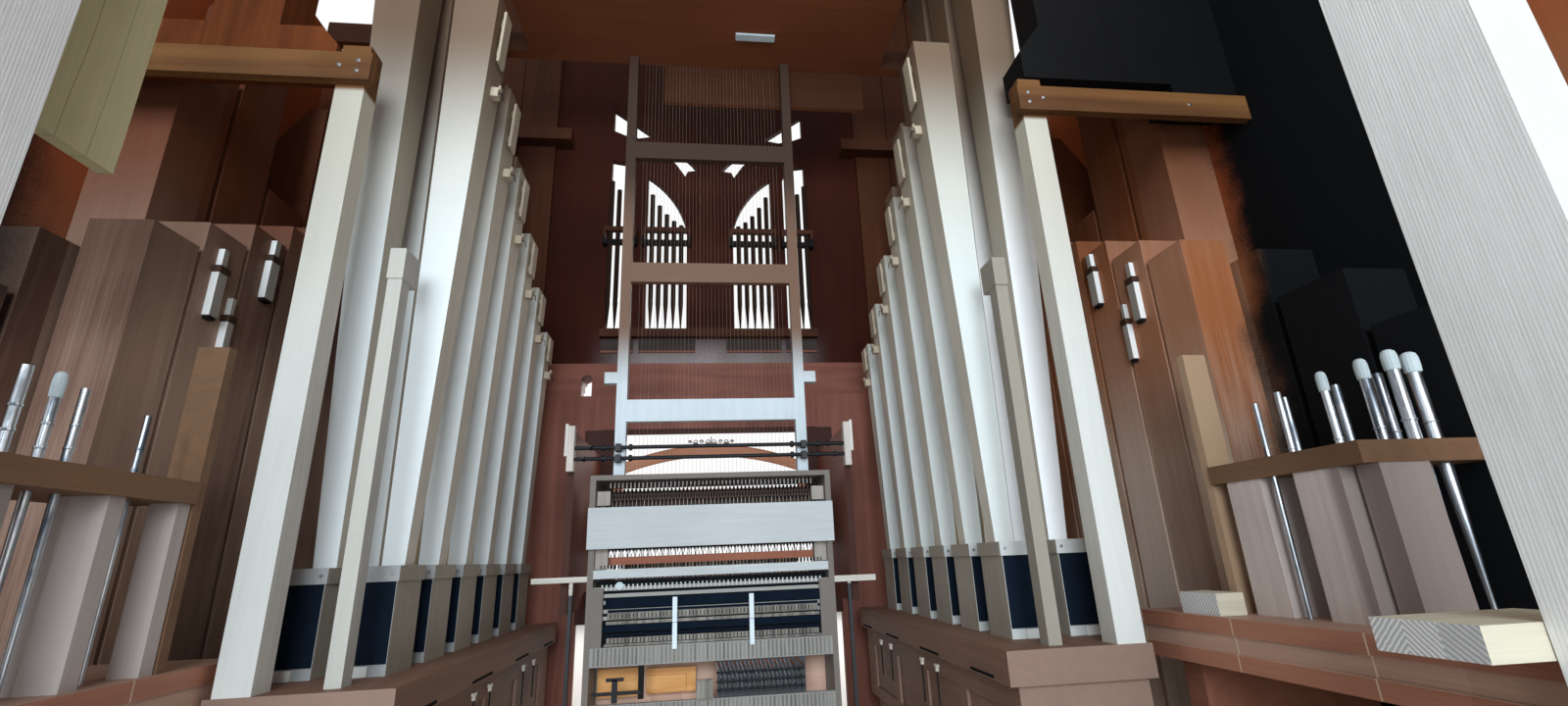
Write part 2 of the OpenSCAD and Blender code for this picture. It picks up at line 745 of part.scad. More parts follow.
module manuals() {
    half = naturals * natural_w / 2;
    color("#e4ddcd") for (m = [0, 1]) {
        z = keybed_z + 60 + 75 * m;
        d1 = 2740 - 95 * m;
        for (i = [0:naturals - 1])
            board(i * natural_w - half + 0.5, (i + 1) * natural_w - half - 0.5, d1 - 145, d1, z, z + 22);
    }
    color("#5d3120") board(-half - 20, half + 20, 2460, 2590, keybed_z + 60, keybed_z + 135);
}

// Music desk: an arched board between two posts, open above and below
module music_desk() {
    d = 2470;
    half = cheek_x - 60;
    band_r = 1091;
    color("#b0693f") {
        translate([0, yd(d), 0]) rotate([90, 0, 0]) linear_extrude(16) intersection() {
            translate([-half + 40, 1090]) square([2 * half - 80, 240]);
            difference() {
                translate([0, 1316 - band_r]) circle(r = band_r, $fn = 192);
                translate([0, 1262 - band_r - 56]) circle(r = band_r + 56, $fn = 192);
            }
        }
        both() board(half - 40, half, d, d + 16, 1108, 1254);
    }
    color("#5d3120") board(-cheek_x, cheek_x, 2430, 2520, 1090, 1108);
}

module pedal_board() {
    half = (pedals + 1) * pedal_pitch / 2;
    d0 = sill_d;
    color("#8a6242") {
        both() board(half, half + 25, d0, pedal_front_d, 0, 110);
        board(-half, half, d0, d0 + 40, 0, 60);
        board(-half, half, pedal_front_d - 60, pedal_front_d, 0, 60);
    }
    color("#c9a878") for (i = [0:pedals - 1]) {
        x = (i - (pedals - 1) / 2) * pedal_pitch;
        sharp = len([for (k = [1, 3, 6, 8, 10]) if (k == i % 12) k]) > 0;
        board(x - 11, x + 11, d0 + 5, pedal_front_d - 5, 60, 85);
        if (sharp) board(x - 10, x + 10, front_d + lower_t + 40, front_d + lower_t + 230, 85, 120);
    }
}

module packing_blocks() {
    z = side_chest_z;
    far = side_chest_x + 80;
    near = rear_post_x - 90;
    color("#ddd6c8") mirror([1, 0, 0]) {
        board(near, near + 190, rear_post_d + 2, rear_post_d + 52, z, z + 44);
        board(near, near + 240, rear_post_d + 52, rear_post_d + 142, z, z + 44);
        board(far, far + 65, 802, 916, z, z + 46);
    }
}

base_frame();
lower_front();
impost();
facade();
crown();
side_wall(-1);  // side_wall_left
side_wall(1);  // side_wall_right
rear_frame();
tower_backs();
facade_racks();
facade_pipes();
tower_pipes();
great_chest();
great_pipes();
ladder_frame();
pedal_chest(-1);  // pedal_chest_left
pedal_chest(1);  // pedal_chest_right
toe_board(-1);  // toe_board_left
toe_board(1);  // toe_board_right
reed_boots(-1);  // reed_boots_left
reed_boots(1);  // reed_boots_right
resonators(-1);  // resonators_left
resonators(1);  // resonators_right
stay_posts();
frame_posts();
outer_chest(-1);  // outer_chest_left
outer_chest(1);  // outer_chest_right
rack_boards();
square_boots();
metal_pipes(-1);  // metal_pipes_left
metal_pipes(1);  // metal_pipes_right
bass_pipes(-1);  // bass_pipes_left
bass_pipes(1);  // bass_pipes_right
turned_heads();
mouth_caps();
action_frame();
action_rails();
side_arms();
roller_board();
roller_bearings();
upper_roller();
lower_roller();
key_desk();
manuals();
music_desk();
pedal_board();
packing_blocks();
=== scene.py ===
# %% [markdown]
# A pipe organ, seen from its open back.
# The carpentry, the pipes and the moving rollers come from the imported model, which is loaded as a fixed frame.
# This script adds what a construction model leaves out: the finish of every surface, the trackers of
# the key action, the tuning flaps, the felt and leather, screws, mouths and knobs.

# %% Load the imported model
import math

import bmesh
import bpy
from mathutils import Matrix, Vector


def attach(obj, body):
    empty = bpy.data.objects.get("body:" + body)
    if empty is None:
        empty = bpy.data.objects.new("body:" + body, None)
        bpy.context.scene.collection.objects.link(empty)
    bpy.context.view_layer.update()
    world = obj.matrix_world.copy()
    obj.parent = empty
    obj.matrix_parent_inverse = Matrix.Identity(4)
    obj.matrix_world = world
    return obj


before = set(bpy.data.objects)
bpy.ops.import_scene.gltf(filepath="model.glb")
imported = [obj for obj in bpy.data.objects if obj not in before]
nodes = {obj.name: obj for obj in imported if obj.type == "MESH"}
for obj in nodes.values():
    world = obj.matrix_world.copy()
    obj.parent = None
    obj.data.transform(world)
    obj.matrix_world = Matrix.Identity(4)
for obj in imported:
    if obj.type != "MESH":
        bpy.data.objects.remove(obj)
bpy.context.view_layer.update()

# %% [markdown]
# The carpenter measures in millimetres, and counts depth from the open back towards the show front.
# Blender works in metres with Y towards the back, so every place goes through the same two small functions.

# %% Places in millimetres
MM = 0.001
HALF_DEPTH = 1530
CASE_HALF = 1650
LOWER_FRONT = 2485
SIDES = (-1, 1)


def back(depth):
    """The Y of a depth from the open back"""
    return (HALF_DEPTH - depth) * MM


def spot(x, depth, z):
    return Vector((x * MM, back(depth), z * MM))


def side_name(side):
    return "right" if side > 0 else "left"


def across(side, x0, x1):
    """The two X of a board on one side, in rising order"""
    return sorted((side * x0, side * x1))


print("the open back is at Y =", back(0))

# %% [markdown]
# The camera stands a little behind the open back, on the middle line and at the height of a crouching tuner.
# It looks up and forwards through a very wide lens. Its three directions are written as vectors,
# because with such a lens a small turn moves every edge of the picture.

# %% The camera
CAMERA_PLACE = Vector((0.0242, 2.1113, 0.7952))
CAMERA_RIGHT = Vector((-0.99281, 0.11320, -0.03899))
CAMERA_FORWARD = Vector((-0.11969, -0.94606, 0.30106))

lens = bpy.data.cameras.new("camera")
lens.sensor_width = 36.0
lens.lens = 14.914
lens.clip_start = 0.02
camera = bpy.data.objects.new("camera", lens)
bpy.context.scene.collection.objects.link(camera)
right = CAMERA_RIGHT.normalized()
ahead = (CAMERA_FORWARD - CAMERA_FORWARD.dot(right) * right).normalized()
up = right.cross(ahead)
camera.matrix_world = Matrix.Translation(CAMERA_PLACE) @ Matrix((right, up, -ahead)).transposed().to_4x4()
bpy.context.scene.camera = camera
print("camera looks along", [round(c, 3) for c in ahead])

# %% [markdown]
# The light is a plain studio: a pale floor, a white surround that only the camera and the gloss see,
# a wide soft lamp behind the open back, one over the case and one before the show front.
# Light Path tells the shader who is looking, so the surround can be white without lighting the organ.

# %% Studio
SURROUND_LIGHT = 0.32


def light_path_mask(tree):
    """1 where the camera, a gloss or a clear surface looks, and 0 for the light that falls on the organ"""
    path = tree.nodes.new("ShaderNodeLightPath")
    seen = path.outputs["Is Camera Ray"]
    for ray in ("Is Glossy Ray", "Is Transmission Ray"):
        either = tree.nodes.new("ShaderNodeMath")
        either.operation = "MAXIMUM"
        tree.links.new(seen, either.inputs[0])
        tree.links.new(path.outputs[ray], either.inputs[1])
        seen = either.outputs[0]
    return seen


def soft_lamp(name, place, aim, width, height, power, colour):
    light = bpy.data.lights.new(name, "AREA")
    light.shape = "RECTANGLE"
    light.size = width
    light.size_y = height
    light.energy = power
    light.color = colour
    lamp = bpy.data.objects.new(name, light)
    bpy.context.scene.collection.objects.link(lamp)
    lamp.location = place
    lamp.rotation_euler = (Vector(aim) - Vector(place)).to_track_quat("-Z", "Y").to_euler()


world = bpy.data.worlds.new("surround")
bpy.context.scene.world = world
world.use_nodes = True
tree = world.node_tree
background = tree.nodes["Background"]
brightness = tree.nodes.new("ShaderNodeMapRange")
brightness.inputs["To Min"].default_value = SURROUND_LIGHT
brightness.inputs["To Max"].default_value = 1.0
tree.links.new(light_path_mask(tree), brightness.inputs["Value"])
tree.links.new(brightness.outputs[0], background.inputs["Strength"])
background.inputs["Color"].default_value = (1.0, 1.0, 1.0, 1.0)

soft_lamp("lamp_back", (0.4, 6.0, 2.3), (0.0, 0.0, 1.3), 3.6, 2.8, 390, (0.80, 0.91, 1.0))
soft_lamp("lamp_over", (0.8, 0.4, 8.0), (0.0, 0.2, 2.0), 3.5, 3.5, 90, (1.0, 0.90, 0.78))
soft_lamp("lamp_front", (-1.0, -6.5, 4.2), (0.0, -1.2, 1.8), 4.5, 3.5, 380, (1.0, 0.97, 0.93))

REACH = 40
corners = [(-REACH, -REACH, 0), (REACH, -REACH, 0), (REACH, REACH, 0), (-REACH, REACH, 0)]
floor_mesh = bpy.data.meshes.new("floor")
floor_mesh.from_pydata(corners, [], [(0, 1, 2, 3)])
floor = bpy.data.objects.new("floor", floor_mesh)
bpy.context.scene.collection.objects.link(floor)
pale = bpy.data.materials.new("pale_floor")
pale.use_nodes = True
matt = pale.node_tree.nodes["Principled BSDF"].inputs
matt["Base Color"].default_value = (0.80, 0.79, 0.77, 1)
matt["Roughness"].default_value = 0.8
floor_mesh.materials.append(pale)
bpy.context.scene.view_settings.view_transform = "Standard"
print("three soft lamps and a white surround")

# %% [markdown]
# Most surfaces of an organ are wood, and wood is made here from arithmetic: growth rings are the contour
# lines of a slow noise, and fibres are a fine noise that is stretched along the grain.
# Writing such sums as nodes by hand is long, so one small class wraps a socket and turns Python's
# operators into Math nodes. One method, node(), adds any other kind of node.

# %% Shader arithmetic


def socket_of(sockets, key):
    """A socket by its number, identifier or name"""
    if isinstance(key, int):
        return sockets[key]
    for socket in sockets:
        if socket.identifier == key:
            return socket
    return sockets[key]


class Number:
    """A socket that carries a value over the surface"""

    def __init__(self, shader, socket):
        self.shader = shader
        self.socket = socket

    def math(self, operation, *others):
        return self.shader.node("ShaderNodeMath", {"operation": operation}, self, *others)

    def __add__(self, other):
        return self.math("ADD", other)

    __radd__ = __add__

    def __sub__(self, other):
        return self.math("SUBTRACT", other)

    def __rsub__(self, other):
        return self.shader.node("ShaderNodeMath", {"operation": "SUBTRACT"}, other, self)

    def __mul__(self, other):
        return self.math("MULTIPLY", other)

    __rmul__ = __mul__

    def __truediv__(self, other):
        return self.math("DIVIDE", other)

    def __pow__(self, other):
        return self.math("POWER", other)

    def __gt__(self, other):
        return self.math("GREATER_THAN", other)

    def __lt__(self, other):
        return self.math("LESS_THAN", other)

    def ramp(self, low, high):
        """0 below low, 1 above high, and a smooth rise between"""
        kind = {"interpolation_type": "SMOOTHSTEP", "clamp": True}
        return self.shader.node("ShaderNodeMapRange", kind, self, low, high, 0.0, 1.0)

    def clamp(self):
        return self.math("MAXIMUM", 0.0).math("MINIMUM", 1.0)


class Shader:
    """One material, with its Principled surface and a method for every other node"""

    def __init__(self, name, **constants):
        self.material = bpy.data.materials.new(name)
        self.material.use_nodes = True
        self.tree = self.material.node_tree
        self.surface = self.tree.nodes["Principled BSDF"]
        for key, value in constants.items():
            socket_of(self.surface.inputs, key.replace("_", " ")).default_value = value

    def node(self, kind, settings, *values, out=0, **named):
        made = self.tree.nodes.new(kind)
        for key, value in settings.items():
            setattr(made, key, value)
        for key, value in [*enumerate(values), *named.items()]:
            socket = socket_of(made.inputs, key)
            if isinstance(value, Number):
                self.tree.links.new(value.socket, socket)
            else:
                socket.default_value = value
        return Number(self, socket_of(made.outputs, out))

    def place(self, axis=None):
        """The point in the organ's own frame, or one of its three coordinates"""
        whole = self.node("ShaderNodeTexCoord", {}, out="Object")
        return whole if axis is None else self.node("ShaderNodeSeparateXYZ", {}, whole, out=axis)

    def between(self, axis, low, high):
        """1 between two planes across one axis"""
        return (self.place(axis) > low) * (self.place(axis) < high)

    def facing(self, axis):
        """How far the surface faces along one axis, from -1 to 1"""
        normal = self.node("ShaderNodeNewGeometry", {}, out="True Normal")
        return self.node("ShaderNodeSeparateXYZ", {}, normal, out=axis)

    def noise(self, scale, stretch=(1, 1, 1), detail=2.0, shift=0.0):
        size = tuple(scale * s for s in stretch)
        moved = self.node("ShaderNodeMapping", {}, self.place(), Location=(shift,) * 3, Scale=size)
        return self.node("ShaderNodeTexNoise", {}, moved, Scale=1.0, Detail=detail, out="Fac")

    def colours(self, share, low, high):
        """One colour where share is 0 and the other where it is 1, each a node or written like b59b80"""
        low, high = (tint(c) if isinstance(c, str) else c for c in (low, high))
        values = {"Factor_Float": share, "A_Color": low, "B_Color": high}
        return self.node("ShaderNodeMix", {"data_type": "RGBA"}, out="Result_Color", **values)

    def finish(self, **links):
        """Feeds the surface's own sockets"""
        for key, value in links.items():
            self.tree.links.new(value.socket, socket_of(self.surface.inputs, key.replace("_", " ")))
        return self.material

    def bump(self, height, strength, distance=0.001):
        values = {"Strength": strength, "Distance": distance, "Height": height}
        return self.node("ShaderNodeBump", {}, out="Normal", **values)

    def finish_wood(self, colour, fibre, rough=0.5):
        return self.finish(Base_Color=colour, Roughness=rough + fibre * 0.2, Normal=self.bump(fibre, 0.25))


def tint(code):
    """The linear colour of a written one such as b59b80"""
    channels = [int(code[i : i + 2], 16) / 255 for i in (0, 2, 4)]
    linear = [c / 12.92 if c < 0.04045 else ((c + 0.055) / 1.055) ** 2.4 for c in channels]
    return (*linear, 1.0)


print("shader helpers ready")

# %% [markdown]
# Timber is one recipe with a few handles. The grain follows X, Y or Z. Spruce has close dark lines and
# little contrast, the stained oak of the case has broad ones. Boards that lie side by side never match,
# so a step of random tone is added for each board's width. A grubby handling mark is a last slow noise.

# %% Timber
LONG_GRAIN = {"X": (0.07, 1, 1), "Y": (1, 0.07, 1), "Z": (1, 1, 0.07)}
FIBRES = {"X": (0.02, 1, 1), "Y": (1, 0.02, 1), "Z": (1, 1, 0.02)}


def board_steps(shader, axis, width):
    """A random value for each board's width along one axis"""
    count = (shader.place(axis) / width).math("FLOOR")
    return shader.node("ShaderNodeTexWhiteNoise", {"noise_dimensions": "1D"}, W=count, out="Value")


def wood_tone(shader, grain, rings, ring_size, boards, shift):
    """The lightness of raw wood from 0 to 1, and its fibres"""
    slow = shader.noise(ring_size, LONG_GRAIN[grain], 2.0, shift)
    contour = (slow * 60.0).math("SINE") * 0.5
    fibre = shader.noise(330, FIBRES[grain], 1.0, shift)
    mottle = shader.noise(2.3, (1, 1, 1), 3.0, shift + 5)
    tone = contour * rings + (fibre - 0.5) * 0.5 + (mottle - 0.5) * 0.9 + 0.5
    for axis, width, amount in boards:
        tone = tone + (board_steps(shader, axis, width) - 0.5) * amount
    return tone.clamp(), fibre


def timber(name, dark, light, grain, rings, ring_size, matt, boards, shift, after=(), shine=0.35):
    """Stained, oiled or raw wood. Each function in after may change the colour and roughness in turn."""
    shader = Shader(name, Specular_IOR_Level=shine)
    tone, fibre = wood_tone(shader, grain, rings, ring_size, boards, shift)
    colour = shader.colours(tone, dark, light)
    rough = matt + fibre * 0.2
    for change in after:
        colour, rough = change(shader, colour, rough)
    normal = shader.bump(fibre, 0.25, 0.0006)
    return shader.finish(Base_Color=colour, Roughness=rough, Normal=normal)


# Most uses below are painted light or shade that changes with height or side.
def tone_along(low, high, colour, share, axis="Z"):
    """Another tone that comes in from low to high along one axis, or down the axis where low is the higher"""

    def after(shader, base, rough):
        place = shader.place(axis)
        mask = place.ramp(low, high) if high > low else 1.0 - place.ramp(high, low)
        return shader.colours(mask * share, base, colour), rough

    return after


SHADOW_FROM, SHADOW_SLANT = 2.095, 1.004


def painted_black_shadow(start, end, share):
    """Painted black shadow near the open back. It begins on a plane that slants outwards, and its edge is soft
    and ragged
    """

    def after(shader, base, rough):
        waves = (shader.noise(4.0, (1, 1, 1), 5.0) - 0.5) * 0.22
        ragged = waves + (shader.noise(300.0, (1, 1, 1), 1.0) - 0.5) * 0.08
        outwards = shader.place("X").math("ABSOLUTE") * SHADOW_SLANT
        shadow_stop = 1.0 - shader.place("Y").ramp(back(470), back(400))
        mask = (shader.place("Y") + outwards + ragged - SHADOW_FROM).ramp(start, end) * shadow_stop * share
        return shader.colours(mask, base, "05070a"), rough + mask * 0.3

    return after


def back_face_painted_light(colour, share):
    """Faces towards the open back get painted light where the colour is lighter and painted shade where it is
    darker
    """

    def after(shader, base, rough):
        mask = shader.facing("Y").ramp(0.3, 0.8) * share
        return shader.colours(mask, base, colour), rough

    return after


def front_stain(low, high):
    """Faces towards the show front get the clear stain of the case, and the other faces keep their darker tone"""

    def after(shader, base, rough):
        mask = (shader.facing("Y") * -1.0).ramp(0.3, 0.8)
        figure = shader.noise(4.0, LONG_GRAIN["Z"], 3.0, 3.0).ramp(0.3, 0.7)
        return shader.colours(mask, base, shader.colours(figure, low, high)), rough

    return after


def painted_light_underside(colour, share):
    """Faces turned down get painted light, a warmer red brown"""

    def after(shader, base, rough):
        mask = (shader.facing("Z") * -1.0).ramp(0.3, 0.9) * share
        return shader.colours(mask, base, colour), rough

    return after


def paint(finish, *names):
    """Gives CAD nodes one finish"""
    for name in names:
        mesh = nodes[name].data
        mesh.materials.clear()
        mesh.materials.append(finish)
        for face in mesh.polygons:
            face.material_index = 0


print("timber recipe ready")

# %% [markdown]
# The pale softwood of the reed pipes gets painted cool light on the faces towards the open back, which see
# daylight, and painted shade, browner, near the top, where the case shades them; the sides keep the browner wood.
# Each side of the organ has its own copy of the spruce and of the boots' maple, with its own painted light. The
# resonators, boots, posts and stays share one recipe with other shades, and the rails over the posts are brown.

# %% Pale wood of the reed division
# Painted shade: the resonators turn browner and darker towards the top, where the case shades them.
PAINTED_SHADE_TOP = [
    tone_along(1.45, 2.05, "b5a78e", 0.5),
    tone_along(1.85, 2.4, "6d523a", 0.93),
    tone_along(2.4, 3.4, "4a3018", 0.85),
]
OUTER_ROW = -0.885
spruce_side = ("bdb4a3", "e6decf", "Z", 0.10, 8.0, 0.55, [("Y", 0.104, 0.12)])


def outer_row_painted_light(shader, base, rough):
    """The outer row on the bright side stands behind the posts; its faces towards the open back get painted
    light, near white
    """
    row_mask = (shader.place("X") < OUTER_ROW) * shader.facing("Y").ramp(0.3, 0.8)
    return shader.colours(row_mask * 0.8, base, "ffffff"), rough


# Painted light on the faces towards the open back, near white on the outer row, and painted shade near the top.
# The -X side gets the bright copy and the +X side the shaded copy, each with its own painted light.
painted_bright_steps = [back_face_painted_light("dae1e0", 0.75), outer_row_painted_light, *PAINTED_SHADE_TOP]
painted_bright_spruce = timber("painted_bright_spruce", *spruce_side, 1.0, painted_bright_steps)
painted_shaded_spruce = timber("painted_shaded_spruce", *spruce_side, 1.5, [back_face_painted_light("e3e9ea", 0.85), *PAINTED_SHADE_TOP])


def brown_rails(shader, base, rough):
    """The rails over the posts are oiled brown, with their grain along X"""
    figure = shader.noise(14.0, LONG_GRAIN["X"], 3.0, 6.0).ramp(0.3, 0.7)
    oiled = shader.colours(figure, "523012", "7c5229")
    return shader.colours(shader.place("Z").ramp(1.985, 2.0), base, oiled), rough


# Painted light on the faces towards the open back, painted shade from 1.1 m to 1.9 m, and the rails' own oiled
# brown.
post_steps = [back_face_painted_light("cfd2cf", 0.6), tone_along(1.1, 1.9, "bdb29a", 0.6), brown_rails]
post_spruce = timber("post_spruce", "b9b3a8", "dfd9cf", "Z", 0.16, 10.0, 0.55, [], 2.0, post_steps)
# Painted light on the faces towards the open back, and painted shade on the stay on -X.
stay_steps = [back_face_painted_light("b3b1a8", 0.6), tone_along(0.1, -0.1, "8c8272", 0.8, "X")]
stay_spruce = timber("stay_spruce", "a5a199", "cfcac2", "Z", 0.16, 10.0, 0.55, [], 2.5, stay_steps)
boot_side = ("8f8678", "b8ae9f", "Z", 0.12, 9.0, 0.55, [("Y", 0.208, 0.2)])
# Each side's boots have their own painted light on the faces towards the open back, brighter on -X and duller on
# +X.
maple_boots_painted_bright = timber("maple_boots_painted_bright", *boot_side, 3.0, [back_face_painted_light("c6cac9", 0.7)])
maple_boots_painted_shaded = timber("maple_boots_painted_shaded", *boot_side, 3.5, [back_face_painted_light("93979a", 0.75)])
# Painted light on the faces towards the open back. The square boots are also darker above 0.9 m, near the open
# back and on +X.
pink_steps = [
    back_face_painted_light("d3c8c2", 0.35),
    tone_along(0.9, 0.965, "8d7668", 0.6),
    tone_along(0.97, 1.0, "6f5f57", 0.7, "Y"),
    tone_along(-0.1, 0.1, "857b76", 0.5, "X"),
]
pink_boards = [("Y", 0.093, 0.4)]
pink_beech = timber("pink_beech", "a8968e", "e6d7cf", "Z", 0.12, 10.0, 0.55, pink_boards, 5.0, pink_steps)
block_pine = timber("block_pine", "c3c2bc", "eeede8", "X", 0.2, 12.0, 0.6, [], 6.0)
flap_beech = timber("flap_beech", "a08f7a", "c9baa4", "Z", 0.2, 12.0, 0.6, [], 6.8)
# Painted light, near white, on the faces of the caps towards the open back.
cap_steps = [back_face_painted_light("f6f7f5", 0.95)]
cap_pine = timber("cap_pine", "8f867c", "b5aca2", "Z", 0.2, 12.0, 0.6, [], 6.5, cap_steps)

paint(painted_bright_spruce, "resonators_left")
paint(painted_shaded_spruce, "resonators_right")
paint(maple_boots_painted_bright, "reed_boots_left")
paint(maple_boots_painted_shaded, "reed_boots_right")
paint(stay_spruce, "stay_posts")
paint(post_spruce, "frame_posts")
paint(pink_beech, "square_boots")
paint(cap_pine, "mouth_caps")
print("pale woods painted")

# %% [markdown]
# The rear frame is the piece nearest to the camera, so its grain is the finest: narrow upright lines,
# 4 mm apart, like planed spruce. The board that hangs beside one post is older and greenish, and two
# checks run up through it. Height and place pick it out of the node, so no mesh has to be split.

# %% Rear frame
HANGING_X = (1.045, 1.080)
HANGING_Y = (back(535), back(388))
HANGING_MIDDLE = 0.02
LINE_SPACING = 0.0045


def planed_lines(shader):
    """Close dark year lines, slightly bent"""
    bend = shader.noise(3.0, LONG_GRAIN["Z"], 2.0, 9.0) * 0.05
    over = shader.place("X") + shader.place("Y") * 0.9 + bend
    return (over * (6.283 / LINE_SPACING)).math("SINE") * 0.5 + 0.5


def rear_frame_finish():
    shader = Shader("rear_frame_spruce", Specular_IOR_Level=0.35)
    tone, fibre = wood_tone(shader, "Z", 0.06, 6.0, [], 7.0)
    lines = planed_lines(shader) ** 2.0
    share = (tone * 0.8 + 0.2 - lines * 0.14).clamp()
    # Painted light differs between the two sides: the bright tones on -X, the shaded tones on +X.
    bright = shader.colours(share, "c2bfbb", "fbf9f6")
    shaded = shader.colours(share, "cfccc8", "fbfaf7")
    base = shader.colours(shader.place("X") > 0.0, bright, shaded)
    # Painted shade on the faces towards the open back.
    outwards = shader.facing("Y").ramp(0.4, 0.9)
    base = shader.colours(outwards * 0.7, base, "b9b7b3")
    hanging = shader.between("X", *HANGING_X) * shader.between("Y", *HANGING_Y)
    crooked = shader.place("Y") + (shader.noise(2.5, (1, 1, 0.4), 3.0, 2.0) - 0.5) * 0.05
    checks = (((crooked + HANGING_MIDDLE) * 19.0).math("FRACT") - 0.5).math("ABSOLUTE") < 0.009
    old = shader.colours(tone, "a69a72", "cdc098")
    old = shader.colours(checks * 0.8, old, "3a3423")
    colour = shader.colours(hanging, base, old)
    normal = shader.bump(lines * 0.5 + fibre, 0.3, 0.0008)
    return shader.finish(Base_Color=colour, Roughness=0.55 + fibre * 0.25, Normal=normal)


paint(rear_frame_finish(), "rear_frame")
print("rear frame painted")

# %% [markdown]
# The case is stained a deep red brown and waxed, so it has broad figure and a low sheen.
# Inside, the planks behind the towers and the long bass pipes are browner, and each plank has its own tone.
# Towards the open back the side walls and the bass pipes get a painted black shadow, with a soft uneven edge.
# Higher up they get painted warm light and shade.

# %% Case and bass pipes
CASE_STAIN = ("5c3127", "9c6252")


def painted_sheen_middle(shader, base, rough):
    """The panel under the pipe fields gets a painted sheen, a hazy reflection of light in its middle"""
    near = 1.0 - shader.place("X").math("ABSOLUTE").ramp(0.30, 0.62)
    low = 1.0 - shader.place("Z").ramp(1.72, 1.93)
    cloud = shader.noise(3.0, (1, 1, 0.5), 3.0, 8.0).ramp(0.2, 0.7)
    speck = shader.noise(90.0, (1, 1, 1), 2.0, 4.0).ramp(0.3, 0.75)
    sheen = 0.4 + cloud * 0.35 + speck * 0.2
    return shader.colours(near * low * sheen, base, "a59a99"), rough


case_oak = timber("case_oak", *CASE_STAIN, "Z", 0.18, 5.0, 0.5, [("X", 0.35, 0.1)], 11.0, shine=0.2)
case_oak_long = timber("case_oak_long", *CASE_STAIN, "X", 0.18, 5.0, 0.5, [], 12.0, shine=0.2)
# The key desk's own tones are kept light as painted light on its inner faces. Its faces towards the open back get
# painted shade, and its front faces the case stain.
desk_steps = [front_stain(*CASE_STAIN), back_face_painted_light("26130e", 0.85)]
desk_oak = timber("desk_oak", "6e3d30", "a76a5a", "Z", 0.18, 5.0, 0.5, [], 12.5, desk_steps, 0.15)
facade_steps = [painted_sheen_middle, front_stain(*CASE_STAIN)]
facade_boards = [("X", 0.19, 0.12)]
facade_oak = timber("facade_oak", "250c05", "43190e", "Z", 0.15, 5.0, 0.6, facade_boards, 13.0, facade_steps, 0.1)
# Painted shade: the tower planks darken from 1.9 m to 2.8 m.
tower_steps = [tone_along(1.9, 2.8, "3a1c0e", 0.6)]
tower_boards = [("X", 0.1875, 0.4)]
tower_plank = timber("tower_plank", "3c2012", "6b3c22", "Z", 0.2, 5.0, 0.6, tower_boards, 14.0, tower_steps, 0.15)
# Painted light on the faces turned down, and painted shade on the faces towards the open back.
chest_steps = [painted_light_underside("80492d", 0.4), back_face_painted_light("241006", 0.75)]
chest_boards = [("Y", 0.16, 0.35)]
chest_plank = timber("chest_plank", "5d321d", "885133", "X", 0.2, 5.0, 0.6, chest_boards, 15.0, chest_steps, 0.15)


def painted_shade_rear(shader, base, rough):
    """On +X the wood near the open back gets painted shade above the racks"""
    mask = shader.place("Y").ramp(back(970), back(850)) * shader.place("Z").ramp(1.15, 1.5)
    return shader.colours(mask * 0.7, base, "2a1d14"), rough


wall_side = ("Z", 0.2, 5.0, 0.6, [("Y", 0.15, 0.3)])
# Painted glow: warm light from above, painted on the side walls from 1.2 m upwards.
painted_wall_glow = tone_along(1.2, 2.0, "9c481b", 0.85)
right_steps = [painted_wall_glow, painted_shade_rear, painted_black_shadow(-0.02, 0.16, 0.9)]
wall_right = timber("wall_right", "5b4032", "8d6b56", *wall_side, 16.0, right_steps, 0.15)
left_steps = [painted_wall_glow, painted_black_shadow(-0.06, 0.05, 1.0)]
wall_left = timber("wall_left", "6b4a36", "a5795a", *wall_side, 17.0, left_steps, 0.15)


def odd_pipe(near, far, colour, share, height):
    """One pipe of the front row, between two depths, is of another tone below a height"""

    def after(shader, base, rough):
        along = shader.between("Y", back(far), back(near))
        low = 1.0 - shader.place("Z").ramp(height - 0.2, height)
        return shader.colours(along * low * share, base, colour), rough

    return after


bass_side = ("Z", 0.15, 5.0, 0.55, [("Y", 0.154, 0.7), ("X", 0.16, 0.35)])
# Painted shade and warm light that change with height, painted shade near the open back, and the painted black
# shadow.
bass_right_steps = [
    tone_along(1.25, 1.6, "4c2a14", 0.6),
    tone_along(1.55, 1.95, "6a3115", 0.75),
    painted_shade_rear,
    painted_black_shadow(0.0, 0.16, 0.9),
]
# Two front pipes of their own tone, painted warm light and shade that change with height, and the painted black
# shadow.
bass_left_steps = [
    odd_pipe(1222, 1358, "e9d3c3", 0.65, 1.6),
    odd_pipe(1068, 1204, "6b3c2a", 0.5, 1.6),
    tone_along(0.95, 1.4, "a05a2c", 0.75),
    tone_along(1.5, 2.0, "5e2c12", 0.75),
    painted_black_shadow(-0.06, 0.05, 1.0),
]
bass_right = timber("bass_right", "74574a", "c9a893", *bass_side, 18.0, bass_right_steps, 0.2)
bass_left = timber("bass_left", "8a5f47", "f2d8c2", *bass_side, 19.0, bass_left_steps, 0.2)


def end_plank(shader, base, rough):
    """The plank at the end of one rack is newer than the rest"""
    along = shader.between("Y", back(863), back(839.5))
    return shader.colours(along * (shader.place("X") < 0.0) * 0.8, base, "b99a7c"), rough


walnut_side = ("Y", 0.12, 7.0, 0.5)
rack_walnut = timber("rack_walnut", "58402f", "866448", *walnut_side, [], 20.0, [end_plank], 0.25)
